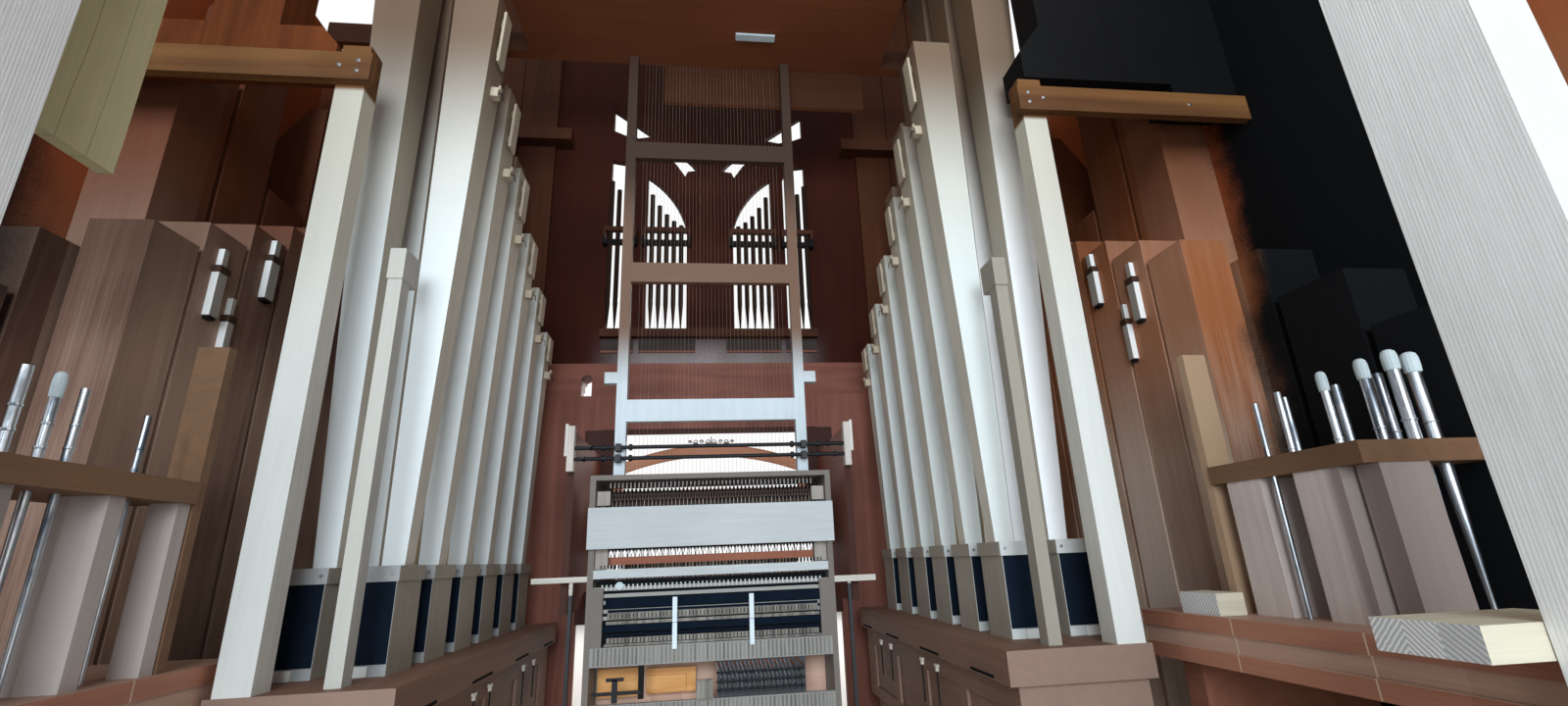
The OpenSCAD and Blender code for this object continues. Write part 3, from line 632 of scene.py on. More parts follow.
# Painted light on the faces towards the open back.
toe_steps, toe_boards = [back_face_painted_light("967f72", 0.5)], [("Y", 0.365, 0.15)]
toe_walnut = timber("toe_walnut", "5d4336", "93705d", *walnut_side, toe_boards, 21.0, toe_steps, 0.25)
# Painted shade: the pale ladder turns brown from 1.42 m and dark from 2.1 m.
ladder_steps = [tone_along(1.42, 1.7, "6f4a2e", 0.95), tone_along(2.1, 2.42, "36241a", 0.9)]
ladder_wood = timber("ladder_wood", "bac4ca", "dfe7ea", "Z", 0.1, 8.0, 0.5, [], 22.0, ladder_steps, 0.3)
black_wood = timber("black_wood", "060607", "1d1a19", "X", 0.2, 6.0, 0.6, [], 23.0, shine=0.15)

paint(case_oak, "lower_front", "base_frame")
paint(case_oak_long, "impost", "crown")
paint(desk_oak, "key_desk")
paint(facade_oak, "facade")
paint(tower_plank, "tower_backs")
paint(chest_plank, "great_chest")
paint(wall_right, "side_wall_right")
paint(wall_left, "side_wall_left")
paint(bass_right, "bass_pipes_right")
paint(bass_left, "bass_pipes_left")
paint(rack_walnut, "rack_boards")
paint(toe_walnut, "toe_board_left", "toe_board_right", "pedal_chest_left", "pedal_chest_right")
paint(ladder_wood, "ladder_frame")
print("case and pipes painted")

# %% [markdown]
# Two rows of bars hold the small front pipes. The upper bar of each pair is the colour of the case and the
# lower one is black, and so is the sill brown that carries the feet. Height tells them apart.

# %% Rack bars behind the show front


def rack_bar_finish():
    shader = Shader("rack_bar_wood", Specular_IOR_Level=0.12)
    tone, fibre = wood_tone(shader, "X", 0.15, 6.0, [], 23.5)
    brown = shader.colours(tone, "301910", "5a3424")
    black = shader.colours(tone, "0b0809", "191517")
    bar = shader.place("Z").ramp(2.30, 2.31) * (1.0 - shader.place("Z").ramp(2.385, 2.39))
    colour = shader.colours(bar, brown, black)
    return shader.finish_wood(colour, fibre, 0.6)


paint(rack_bar_finish(), "facade_racks")
print("rack bars painted")

# %% [markdown]
# The two turned pipe heads over the rails differ: the one on -X is black, the one on +X is brown.
# They are one node, so a step on X chooses the colour. The outer chests are built up of three layers,
# and a pale line shows at each joint of their boards. Both are places on the piece, not separate meshes.

# %% Turned heads and outer chests


def heads_finish():
    shader = Shader("turned_heads_wood", Specular_IOR_Level=0.12)
    tone, fibre = wood_tone(shader, "Z", 0.2, 6.0, [], 25.0)
    brown = shader.colours(tone, "42200f", "7d421f")
    dark = shader.colours(tone, "050607", "0e0f12")
    colour = shader.colours(shader.place("X") > 0.0, dark, brown)
    return shader.finish_wood(colour, fibre)


def chest_finish():
    shader = Shader("outer_chest_layers", Specular_IOR_Level=0.3)
    tone, fibre = wood_tone(shader, "Y", 0.15, 7.0, [("Y", 0.3, 0.2)], 26.0)
    edge = shader.colours(tone, "84503c", "b27c64")
    core = shader.colours(tone, "947462", "c29d88")
    height = shader.place("Z") + shader.noise(6.0, (1, 1, 1), 2.0) * 0.004
    middle = height.ramp(0.571, 0.574) * (1.0 - height.ramp(0.606, 0.610))
    colour = shader.colours(middle, edge, core)
    joint = ((shader.place("Y") + 0.1) / 0.29).math("FRACT") < 0.011
    colour = shader.colours(joint * 0.7, colour, "dcc9b2")
    top = shader.facing("Z").ramp(0.5, 0.9)
    colour = shader.colours(top * 0.6, colour, "a38a7a")
    return shader.finish_wood(colour, fibre, 0.45)


paint(heads_finish(), "turned_heads")
paint(chest_finish(), "outer_chest_left", "outer_chest_right")
print("heads and chests painted")

# %% [markdown]
# Pipe metal is tin and lead, cast as a sheet and rolled: bright, with long soft streaks and a mottle of
# small spots where the two metals cooled apart. Iron is black and a little rough. Keys are bone and ebony.

# %% Metals, felt and keys


def rolled_metal(name, low, high, spots, rough):
    shader = Shader(name, Metallic=1.0)
    streak = shader.noise(110.0, (1, 1, 0.03), 3.0)
    mottle = shader.noise(60.0, (1, 1, 0.3), 4.0, 3.0).ramp(0.45, 0.62)
    tone = (streak.ramp(0.3, 0.7) + 0.1 - mottle * spots).clamp()
    colour = shader.colours(tone, low, high)
    roughness = rough + mottle * 0.2 + streak * 0.1
    normal = shader.bump(streak + mottle * 0.5, 0.15)
    return shader.finish(Base_Color=colour, Roughness=roughness, Normal=normal)


def felt(name, low, high, scale=900.0):
    shader = Shader(name, Specular_IOR_Level=0.05)
    fluff = shader.noise(scale, (1, 1, 1), 4.0)
    patch = shader.noise(30.0, (1, 1, 1), 2.0)
    colour = shader.colours((fluff * 0.6 + patch * 0.5).clamp(), low, high)
    normal = shader.bump(fluff, 0.5, 0.0015)
    return shader.finish(Base_Color=colour, Roughness=0.85 + fluff * 0.15, Normal=normal)


def forged(name, low, high, rough=0.45, metallic=0.6):
    shader = Shader(name, Metallic=metallic)
    grain = shader.noise(240.0, (1, 1, 1), 3.0)
    colour = shader.colours(grain, low, high)
    return shader.finish(Base_Color=colour, Roughness=rough + grain * 0.2, Normal=shader.bump(grain, 0.2))


pipe_tin = rolled_metal("pipe_tin", "596069", "e6ecf2", 0.25, 0.24)
front_tin = rolled_metal("front_tin", "8d9195", "eef0f2", 0.15, 0.2)


def painted_shade_tin_finish():
    """The small front pipes are bright in front and get painted shade, dark and dull, on the side towards the
    inside
    """
    shader = Shader("tin_with_painted_shade", Specular_IOR_Level=0.1)
    streak = shader.noise(110.0, (1, 1, 0.03), 3.0)
    bright = shader.colours(streak, "8d9195", "eef0f2")
    painted_back_shade = shader.colours(streak, "1a100c", "33211a")
    behind = shader.facing("Y").ramp(-0.75, -0.55)
    colour = shader.colours(behind, bright, painted_back_shade)
    rough = behind * 0.5 + 0.22 + streak * 0.1
    normal = shader.bump(streak, 0.15)
    return shader.finish(Base_Color=colour, Metallic=1.0 - behind, Roughness=rough, Normal=normal)


navy_leather = felt("navy_leather", "080e16", "172230", 500.0)
white_felt = felt("white_felt", "b0bfc3", "dbe6e8")
black_felt = felt("black_felt", "08090a", "1c1d20")
black_iron = forged("black_iron", "0b0c0e", "24262a")
steel = forged("steel", "6f7377", "c8cbce", 0.3, 1.0)
brass = forged("brass", "8a6a2c", "cfae63", 0.3, 1.0)
bone = forged("bone", "d9d0bb", "f1eadb", 0.3, 0.0)
ebony = forged("ebony", "0a0908", "231d1a", 0.3, 0.0)

paint(pipe_tin, "metal_pipes_left", "metal_pipes_right", "great_pipes")
paint(painted_shade_tin_finish(), "facade_pipes")
paint(front_tin, "tower_pipes")
paint(black_iron, "upper_roller", "lower_roller")
paint(bone, "manuals")
print("metals painted")

# %% [markdown]
# The key action's boards are aged pine that has gone grey. Deeper inside they get a painted red brown glow for
# the light of the key desk, so depth chooses between the two. The plates that carry the rollers are
# lighter, and their blocks on the ladder's posts are black.

# %% Key action finishes


def rail_finish():
    """Grey pine at the back of the action, and a painted red brown glow more than 55 mm inside it"""
    shader = Shader("action_rail_pine", Specular_IOR_Level=0.25)
    tone, fibre = wood_tone(shader, "X", 0.06, 8.0, [], 29.0)
    outside = shader.colours(tone, "a9abaa", "ccd0d1")
    low_rails = 1.0 - shader.place("Z").ramp(0.73, 0.75)
    outside = shader.colours(low_rails * 0.75, outside, shader.colours(tone, "77726b", "9f9a92"))
    painted_glow_deep = shader.colours(tone, "7a4330", "a8674c")
    high_rail = shader.place("Z").ramp(0.95, 0.96)
    painted_glow_deep = shader.colours(high_rail, painted_glow_deep, "4a342a")
    deep = 1.0 - shader.place("Y").ramp(back(1893), back(1888))
    colour = shader.colours(deep, outside, painted_glow_deep)
    return shader.finish_wood(colour, fibre)


def bearing_finish():
    shader = Shader("bearing_wood")
    tone, fibre = wood_tone(shader, "Z", 0.3, 9.0, [], 31.0)
    plate = shader.colours(tone, "a89c90", "d8cfc6")
    block = shader.colours(tone, "08080a", "1b1b1e")
    near_post = shader.place("X").math("ABSOLUTE") < 0.45
    colour = shader.colours(near_post, plate, block)
    return shader.finish_wood(colour, fibre)


def arm_finish():
    shader = Shader("side_arm_wood")
    tone, fibre = wood_tone(shader, "X", 0.3, 9.0, [], 32.0)
    wood = shader.colours(tone, "a79d90", "dcd5ca")
    iron = shader.colours(tone, "0b0b0d", "222226")
    rod = 1.0 - shader.place("Z").ramp(0.700, 0.706)
    colour = shader.colours(rod, wood, iron)
    return shader.finish_wood(colour, fibre)


# Painted shade on the faces towards the open back.
cheek_steps = [back_face_painted_light("6f665f", 0.7)]
cheek_pine = timber("cheek_pine", "6a625b", "958b82", "Z", 0.1, 8.0, 0.55, [], 30.0, cheek_steps)
roller_slate = timber("roller_slate", "232527", "45484a", "X", 0.1, 9.0, 0.55, [], 33.0)
desk_cherry = timber("desk_cherry", "b0704c", "e39a72", "X", 0.12, 7.0, 0.4, [], 34.0)
pedal_strips = [("X", 0.038, 0.35)]
pedal_maple = timber("pedal_maple", "a3743f", "e0b67e", "Y", 0.35, 8.0, 0.4, pedal_strips, 35.0)
paint(cheek_pine, "action_frame")
paint(rail_finish(), "action_rails")
paint(bearing_finish(), "roller_bearings")
paint(arm_finish(), "side_arms")
paint(roller_slate, "roller_board")
paint(desk_cherry, "music_desk")
paint(pedal_maple, "pedal_board")
print("action painted")

# %% [markdown]
# The loose blocks on the outer chest show their end grain towards the middle. In the wider board the year
# rings fold round a line near its middle, and in the narrow one beside it they all slope one way. A fold is
# the distance from that line added to the height.

# %% End grain of the loose blocks
END_SEAM, END_FOLD = back(222), back(267)
RINGS_A_METRE = 680.0


def end_grain_finish():
    shader = Shader("end_grain_pine")
    tone, fibre = wood_tone(shader, "X", 0.3, 10.0, [], 36.0)
    side_colour = shader.colours(tone, "b3aa94", "d3cab6")
    wide_board = shader.place("Y") < END_SEAM
    folded = (shader.place("Y") - END_FOLD).math("ABSOLUTE") * wide_board
    sloping = (shader.place("Y") - END_SEAM) * (1.0 - wide_board)
    rings = folded * 1.1 + sloping * 0.9 + shader.place("Z")
    arcs = ((rings + tone * 0.003) * RINGS_A_METRE).math("SINE") * 0.5 + 0.5
    end_colour = shader.colours(arcs ** 1.5, "a9a6a3", "e4e2de")
    end_colour = shader.colours((1.0 - wide_board) * 0.35, end_colour, "8a888c")
    end = shader.facing("X").math("ABSOLUTE").ramp(0.6, 0.9)
    colour = shader.colours(end, side_colour, end_colour)
    return shader.finish(Base_Color=colour, Roughness=0.6 + fibre * 0.2, Normal=shader.bump(fibre, 0.3))


paint(end_grain_finish(), "packing_blocks")
print("blocks painted")

# %% [markdown]
# New pieces are made in two ways. One-off joinery is built from boards in one mesh, with every arris eased
# by a small bevel so that it catches light. Whatever repeats gets a small prototype, and Geometry Nodes
# copy it along a row or to listed places, then turn the copies into a plain mesh.

# %% Boards and turned shapes


def keep(mesh_maker, name):
    """A bmesh becomes an object"""
    mesh = bpy.data.meshes.new(name)
    mesh_maker.to_mesh(mesh)
    mesh_maker.free()
    made = bpy.data.objects.new(name, mesh)
    bpy.context.scene.collection.objects.link(made)
    return made


def add_board(mesh_maker, x0, x1, d0, d1, z0, z1):
    middle = spot((x0 + x1) / 2, (d0 + d1) / 2, (z0 + z1) / 2)
    size = Matrix.Diagonal(((x1 - x0) * MM, (d1 - d0) * MM, (z1 - z0) * MM, 1))
    bmesh.ops.create_cube(mesh_maker, size=1.0, matrix=Matrix.Translation(middle) @ size)


def ship(piece, body="root"):
    """A finished piece rides on its body"""
    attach(piece, body)


def joinery(name, boards, material, arris=0.8):
    """One piece from boards: x0, x1, depth0, depth1, z0, z1 in millimetres"""
    made = bmesh.new()
    for board in boards:
        add_board(made, *board)
    bmesh.ops.bevel(made, geom=made.edges[:], offset=arris * MM, segments=2, profile=0.7, affect="EDGES")
    piece = keep(made, name)
    piece.data.materials.append(material)
    ship(piece)


def turned(name, outline, steps):
    """A lathe shape: outline holds (radius, height) pairs in millimetres, from bottom to top"""
    made = bmesh.new()
    rings = []
    for radius, height in outline:
        if radius == 0:
            rings.append([made.verts.new((0, 0, height * MM))])
            continue
        ring = []
        for angle in [2 * math.pi * k / steps for k in range(steps)]:
            x, y = radius * MM * math.cos(angle), radius * MM * math.sin(angle)
            ring.append(made.verts.new((x, y, height * MM)))
        rings.append(ring)
    for low, high in zip(rings, rings[1:]):
        for k in range(steps):
            n = (k + 1) % steps
            quad = [low[k % len(low)], low[n % len(low)], high[n % len(high)], high[k % len(high)]]
            corners = list(dict.fromkeys(quad))
            if len(corners) > 2:
                made.faces.new(corners)
    for ring, flip in ((rings[0], True), (rings[-1], False)):
        if len(ring) > 1:
            made.faces.new(ring[::-1] if flip else ring)
    return shelve(keep(made, name))


def shelve(shape):
    """A prototype is no piece of the organ"""
    shape.hide_render = True
    shape.hide_viewport = True
    return shape


def prototype(name, boards, arris):
    """A small shape round the origin, kept out of the picture: boards as x0, x1, y0, y1, z0, z1"""
    made = bmesh.new()
    for x0, x1, y0, y1, z0, z1 in boards:
        middle = Vector((x0 + x1, y0 + y1, z0 + z1)) * MM / 2
        size = Matrix.Diagonal(((x1 - x0) * MM, (y1 - y0) * MM, (z1 - z0) * MM, 1))
        bmesh.ops.create_cube(made, size=1.0, matrix=Matrix.Translation(middle) @ size)
    if arris:
        bmesh.ops.bevel(made, geom=made.edges[:], offset=arris * MM, segments=1, affect="EDGES")
    return shelve(keep(made, name))


print("board, lathe and prototype helpers ready")

# %% [markdown]
# The row tree copies a prototype along a straight line. The place tree copies it to the loose points of its
# own mesh, turned and scaled by two attributes of those points. The wire tree makes a round bar of every
# edge. All three end in Realize Instances and Set Material.

# %% Geometry Nodes trees


def new_tree(name, inputs):
    tree = bpy.data.node_groups.new(name, "GeometryNodeTree")
    tree.interface.new_socket("Geometry", in_out="INPUT", socket_type="NodeSocketGeometry")
    for label, kind in inputs:
        tree.interface.new_socket(label, in_out="INPUT", socket_type=kind)
    tree.interface.new_socket("Geometry", in_out="OUTPUT", socket_type="NodeSocketGeometry")
    tree.nodes.new("NodeGroupInput")
    tree.nodes.new("NodeGroupOutput")
    return tree


def step(tree, kind, links, out=0, **settings):
    """Adds one node: links name its inputs and what feeds them"""
    made = tree.nodes.new(kind)
    for key, value in settings.items():
        setattr(made, key, value)
    for key, value in links.items():
        socket = socket_of(made.inputs, key)
        if isinstance(value, bpy.types.NodeSocket):
            tree.links.new(value, socket)
        else:
            socket.default_value = value
    return socket_of(made.outputs, out)


def close_tree(tree, geometry, material):
    real = step(tree, "GeometryNodeRealizeInstances", {"Geometry": geometry})
    painted = step(tree, "GeometryNodeSetMaterial", {"Geometry": real, "Material": material})
    tree.links.new(painted, tree.nodes["Group Output"].inputs[0])
    return tree


def row_tree():
    kinds = [
        ("Prototype", "NodeSocketObject"),
        ("Count", "NodeSocketInt"),
        ("Start", "NodeSocketVector"),
        ("Step", "NodeSocketVector"),
        ("Material", "NodeSocketMaterial"),
    ]
    tree = new_tree("row_of_copies", kinds)
    given = tree.nodes["Group Input"].outputs
    shape = step(tree, "GeometryNodeObjectInfo", {"Object": given["Prototype"]}, "Geometry")
    values = {"Count": given["Count"], "Start Location": given["Start"], "Offset": given["Step"]}
    line = step(tree, "GeometryNodeMeshLine", values)
    copies = step(tree, "GeometryNodeInstanceOnPoints", {"Points": line, "Instance": shape})
    return close_tree(tree, copies, given["Material"])


def place_tree():
    tree = new_tree("copies_at_places", [("Prototype", "NodeSocketObject"), ("Material", "NodeSocketMaterial")])
    given = tree.nodes["Group Input"].outputs
    shape = step(tree, "GeometryNodeObjectInfo", {"Object": given["Prototype"]}, "Geometry")
    values = {"Points": given["Geometry"], "Instance": shape}
    for label, use in (("size", "Scale"), ("turn", "Rotation")):
        kind = "GeometryNodeInputNamedAttribute"
        values[use] = step(tree, kind, {"Name": label}, "Attribute", data_type="FLOAT_VECTOR")
    copies = step(tree, "GeometryNodeInstanceOnPoints", values)
    return close_tree(tree, copies, given["Material"])


def wire_tree():
    kinds = [("Radius", "NodeSocketFloat"), ("Sides", "NodeSocketInt"), ("Material", "NodeSocketMaterial")]
    tree = new_tree("round_wires", kinds)
    given = tree.nodes["Group Input"].outputs
    line = step(tree, "GeometryNodeMeshToCurve", {"Mesh": given["Geometry"]})
    circle = {"Resolution": given["Sides"], "Radius": given["Radius"]}
    ring = step(tree, "GeometryNodeCurvePrimitiveCircle", circle)
    bar = step(tree, "GeometryNodeCurveToMesh", {"Curve": line, "Profile Curve": ring, "Fill Caps": True})
    return close_tree(tree, bar, given["Material"])


ROW = row_tree()
PLACES = place_tree()
WIRES = wire_tree()
print("three trees built")

# %% [markdown]
# A modifier's inputs are set by socket identifier, then the evaluated result replaces the mesh and the
# modifier goes away, so every new piece is a plain mesh.

# %% Run a tree


def grow(name, base, tree, values, body="root"):
    """Runs a tree on base and ships the result as one plain piece"""
    holder = bpy.data.objects.new(name, base)
    bpy.context.scene.collection.objects.link(holder)
    modifier = holder.modifiers.new("grow", "NODES")
    modifier.node_group = tree
    for item in tree.interface.items_tree:
        if item.in_out == "INPUT" and item.name in values:
            modifier[item.identifier] = values[item.name]
    graph = bpy.context.evaluated_depsgraph_get()
    result = bpy.data.meshes.new_from_object(holder.evaluated_get(graph))
    holder.modifiers.clear()
    holder.data = result
    ship(holder, body)


def row(name, shape, count, start, end, material):
    """count copies from start to end, both given as spot() places"""
    gap = (end - start) / (count - 1)
    values = {"Prototype": shape, "Count": count, "Material": material}
    values |= {"Start": tuple(start), "Step": tuple(gap)}
    grow(name, bpy.data.meshes.new(name), ROW, values)


def at_places(name, shape, places, material, body="root"):
    """Copies at (place, size, turn) triples"""
    mesh = bpy.data.meshes.new(name)
    mesh.from_pydata([tuple(p[0]) for p in places], [], [])
    for label, index in (("size", 1), ("turn", 2)):
        attribute = mesh.attributes.new(label, "FLOAT_VECTOR", "POINT")
        attribute.data.foreach_set("vector", [c for p in places for c in p[index]])
    grow(name, mesh, PLACES, {"Prototype": shape, "Material": material}, body)


def wires(name, lines, radius, material, sides=6):
    """Round bars along polylines of places"""
    mesh = bpy.data.meshes.new(name)
    points = [tuple(p) for line in lines for p in line]
    edges, first = [], 0
    for line in lines:
        edges += [(first + k, first + k + 1) for k in range(len(line) - 1)]
        first += len(line)
    mesh.from_pydata(points, edges, [])
    values = {"Radius": radius * MM, "Sides": sides, "Material": material}
    grow(name, mesh, WIRES, values)


ONE = (1.0, 1.0, 1.0)
LEVEL = (0.0, 0.0, 0.0)
TO_THE_BACK = (-math.pi / 2, 0, 0)
TO_THE_FRONT = (math.pi / 2, 0, 0)
print("tree runners ready")

# %% [markdown]
# Reed boots: the rear face of each boot is closed by a dark leather-covered panel, which stops above a pale
# foot. Two screws hold each cap. The sizes repeat those of the boots themselves.

# %% Leather panels of the reed boots
BOOT_BACK = [1105 + 208 * k for k in range(6)]
BOOT_ROWS = [(735, 819), (890, 978)]
TOE_TOP = 580
BOOT_TOP = 815
panel = prototype("panel_shape", [(-0.5, 0.5, 0, 3, 0, 176)], 0.15)
panel_rim = prototype("foot_shape", [(-0.5, 0.5, 0, 7, 0, 22)], 0.2)
screw = turned("screw_shape", [(4.2, 0), (4.2, 0.8), (3.2, 1.7), (0.7, 1.8), (0.7, 1.2), (0, 1.2)], 12)

for side in SIDES:
    places, feet, heads = [], [], []
    for depth in BOOT_BACK:
        for x0, x1 in BOOT_ROWS:
            middle = side * (x0 + x1) / 2
            width = x1 - x0
            places.append((spot(middle, depth, TOE_TOP + 25), (width - 3, 1, 1), LEVEL))
            foot = spot(middle + side * width * 0.2, depth, TOE_TOP + 0.5)
            feet.append((foot, (width * 0.5, 1, 1), LEVEL))
            for end in (-1, 1):
                head = spot(middle + end * (width / 2 - 9), depth - 5, BOOT_TOP - 17)
                heads.append((head, ONE, TO_THE_BACK))
    name = side_name(side)
    at_places(f"boot_panels_{name}", panel, places, navy_leather)
    at_places(f"boot_feet_{name}", panel_rim, feet, block_pine)
    at_places(f"cap_screws_{name}", screw, heads, steel)
print("boots dressed")

# %% [markdown]
# Reed pipes are tuned twice: a wire with a crook stands on each boot, and near the top of every resonator of
# the inner row a long pale flap is slid up or down on the side that faces the aisle. Each flap stands on two
# spacers, and a small block with a dark hook sits below it.

# %% Tuning flaps and wires
REED_LENGTH = 1709
REED_TOP = 131
REED_FOOT = 52
REED_MIDDLE = 68
INNER_EDGE, OUTER_EDGE = 793, 893


def reed_number(side, k):
    """Counted in semitones: the notes of the inner row take turns between the two sides"""
    return 2 * k + (0 if side > 0 else 1)


def reed_length(n):
    return (REED_LENGTH + 15) * 2 ** (-n / 12) - 15


def reed_width(length, height):
    top = REED_TOP * (length / REED_LENGTH) ** 0.7
    return REED_FOOT + (top - REED_FOOT) * height / length


spacers = [(-5, 1, -16, 16, 40, 70), (-5, 1, -16, 16, -70, -40)]
flap = prototype("flap_shape", [(-14, -5, -26, 26, -95, 95), *spacers], 1.2)
spur = prototype("spur_shape", [(-22, 1, -14, 14, -16, 16), (-26, -20, -10, 10, 10, 26)], 1.2)
for side in SIDES:
    flaps, spurs, hooks, crooks = [], [], [], []
    for k, depth in enumerate(BOOT_BACK):
        length = reed_length(reed_number(side, k))
        lean = math.atan((reed_width(length, length) - REED_FOOT) / length)
        turn = (0, -lean, 0 if side > 0 else math.pi)
        size = length / REED_LENGTH
        spur_height = length - 330 * size
        for height, into, scale in ((length - 130 * size, flaps, (1, 1, size)), (spur_height, spurs, ONE)):
            x = INNER_EDGE - reed_width(length, height) - 1
            into.append((spot(side * x, depth + REED_MIDDLE, BOOT_TOP + height), scale, turn))
        x = INNER_EDGE - reed_width(length, spur_height) - 20
        low = BOOT_TOP + spur_height
        hook = [(x, low), (x - 16, low - 8), (x - 20, low - 30)]
        hooks.append([spot(side * across_x, depth + 60, z) for across_x, z in hook])
        for x0, x1 in BOOT_ROWS:
            stem = x0 + 14
            line = [(stem, 0), (stem, 66), (stem + 5, 72), (stem + 14, 73), (stem + 16, 66)]
            crooks.append([spot(side * across_x, depth + 124, BOOT_TOP + z) for across_x, z in line])
    name = side_name(side)
    at_places(f"tuning_flaps_{name}", flap, flaps, flap_beech)
    at_places(f"flap_spurs_{name}", spur, spurs, flap_beech)
    wires(f"flap_hooks_{name}", hooks, 1.6, black_iron)
    wires(f"tuning_wires_{name}", crooks, 1.3, brass)
print("reeds have their tuning gear")

# %% [markdown]
# Every wooden resonator is open at its top. Seen from above, the wall of the box and the dark inside show,
# so a shallow black well, painted shade for the dark inside, sits on each top within a rim of wood.

# %% Open tops of the resonators
well = prototype("well_shape", [(-0.5, 0.5, -0.5, 0.5, 0, 0.6)], 0)
for side in SIDES:
    wells = []
    for k, depth in enumerate(BOOT_BACK):
        number = reed_number(side, k)
        for n, edge, way in ((number, INNER_EDGE, -1), (number - 11, OUTER_EDGE, 1)):
            length = reed_length(n)
            width = reed_width(length, length)
            x = side * (edge + way * width / 2)
            mouth_place = spot(x, depth + REED_MIDDLE, BOOT_TOP + length)
            wells.append((mouth_place, (width - 20, width - 20, 1), LEVEL))
    at_places(f"reed_mouths_{side_name(side)}", well, wells, black_felt)
print("reed tops darkened")

# %% [markdown]
# Metal pipes of the outer division: some of the taller ones wear felt hats against dust, four on -X and three
# on +X. Soldered collars show where lengths of tube meet. Both shapes are turned.

# %% Hats and collars of the metal pipes
RACK = {1: (1002, 825, 939), -1: (1150, 840, 919)}
RACK_THICK = 41
RIGHT_DROPS = (85, 220, 267, 323, 395, 440, 485, 590, 620)
LEFT_DROPS = (168, 199, 177, 239, 238, 294, 286, 320, 324)
LEFT_SHIFTS = (10, 40, 75, 112, 140, 150, 190, 190, 230)


def small_pipe(side, k):
    """x, depth, top and radius of a metal pipe, as in the rack"""
    rack_x, far, low = RACK[side]
    x = rack_x + (58 if side > 0 else LEFT_SHIFTS[k])
    depth = far - (RIGHT_DROPS[k] if side > 0 else LEFT_DROPS[k])
    return x, depth, low + RACK_THICK + 115 + 5.5 * k + (k % 2) * 12, 5.5 + 0.7 * k


hat_outline = [(1.06, -16), (1.24, -15), (1.32, -4), (1.3, 8), (1.1, 15), (0.6, 18), (0, 18.5)]
hat = turned("hat_shape", hat_outline, 14)
collar = turned("collar_shape", [(1.0, -2.5), (1.16, -1.8), (1.2, 0), (1.16, 1.8), (1.0, 2.5)], 14)
for side, hats in ((-1, (3, 5, 7, 8)), (1, (2, 5, 6))):
    caps, collars = [], []
    for k in range(9):
        x, depth, top, radius = small_pipe(side, k)
        if k in hats:
            caps.append((spot(side * x, depth, top), (radius, radius, 1.25), LEVEL))
        for drop, tall in ((62, 1), (100, 1)) if side > 0 else ((120, 0.8),):
            collars.append((spot(side * x, depth, top - drop), (radius, radius, tall), LEVEL))
    name = side_name(side)
    at_places(f"pipe_hats_{name}", hat, caps, white_felt)
    at_places(f"pipe_collars_{name}", collar, collars, pipe_tin)
print("metal pipes dressed")

# %% [markdown]
# The stopped bass pipes carry mouth caps on their inner faces. Over each cap sits a smaller tab, and a dark
# leather strap is caught between the two. The mouth itself is a black slit below the cap, painted shade for the
# opening.

# %% Mouth caps and straps
crest_wood = timber("crest_wood", "2b1a12", "4f3222", "X", 0.3, 12.0, 0.45, [], 47.0)
BASS_X = 1290
MOUTH_CAPS = [(1109, 31, 1440, 118), (1289, 36, 1562, 114), (1177, 22, 1335, 111)]
CAP_THICK = 18
tabs, straps, slits = [], [], []
for side in SIDES:
    for depth, width, low, tall in MOUTH_CAPS:
        over = low + tall
        proud = across(side, BASS_X - CAP_THICK - 4, BASS_X)
        shy = across(side, BASS_X - CAP_THICK + 3, BASS_X)
        straps.append((*proud, depth - 4, depth + width + 4, over + 0.5, over + 18))
        tabs.append((*shy, depth + width * 0.2, depth + width * 0.8, over + 18.5, over + 68))
        slits.append((*shy, depth + 4, depth + width - 4, low - 9, low - 1))
joinery("mouth_tabs", tabs, cap_pine)
joinery("mouth_straps", straps, crest_wood)
joinery("mouth_slits", slits, black_wood, arris=0.4)
print("bass mouths dressed")

# %% [markdown]
# The key action is the liveliest part of the picture. Long thin trackers run up from the keys, one for each
# note. They pass rows of felt-tipped squares under the top board, behind the wide board and under it, then
# through slotted rails between bands of navy felt. All of these are rows of one small shape.

# %% Rows of the key action
NOTES = 56
ROW_HALF = 392
ACTION = 1835


def note_row(name, shape, depth, z, material, count=NOTES, half=ROW_HALF):
    row(name, shape, count, spot(half, depth, z), spot(-half, depth, z), material)


tracker = prototype("tracker_shape", [(-1.3, 1.3, -4, 4, 0, 1)], 0)
tooth = prototype("tooth_shape", [(-3.6, 3.6, -9, 9, -7, 7), (-1.2, 1.2, -1.5, 1.5, 7, 20)], 0.4)
fine_tooth = prototype("fine_tooth_shape", [(-2.6, 2.6, -6, 6, -6, 6), (-1, 1, -1, 1, -14, -6)], 0.4)
slat = prototype("slat_shape", [(-3.4, 3.4, 0, 3, 0, 1)], 0)
pale_pin = prototype("pin_shape", [(-1.6, 1.6, -3, 3, -9, 9), (-2.6, 2.6, -4, 4, 5, 9)], 0.3)


def tracker_row(name, depth, z0, z1, material, shape=tracker, count=NOTES, half=ROW_HALF):
    """Upright sticks from z0 to z1, spread over twice half"""
    places = []
    for k in range(count):
        places.append((spot(half - 2 * half * k / (count - 1), depth, z0), (1, 1, z1 - z0), LEVEL))
    at_places(name, shape, places, material)


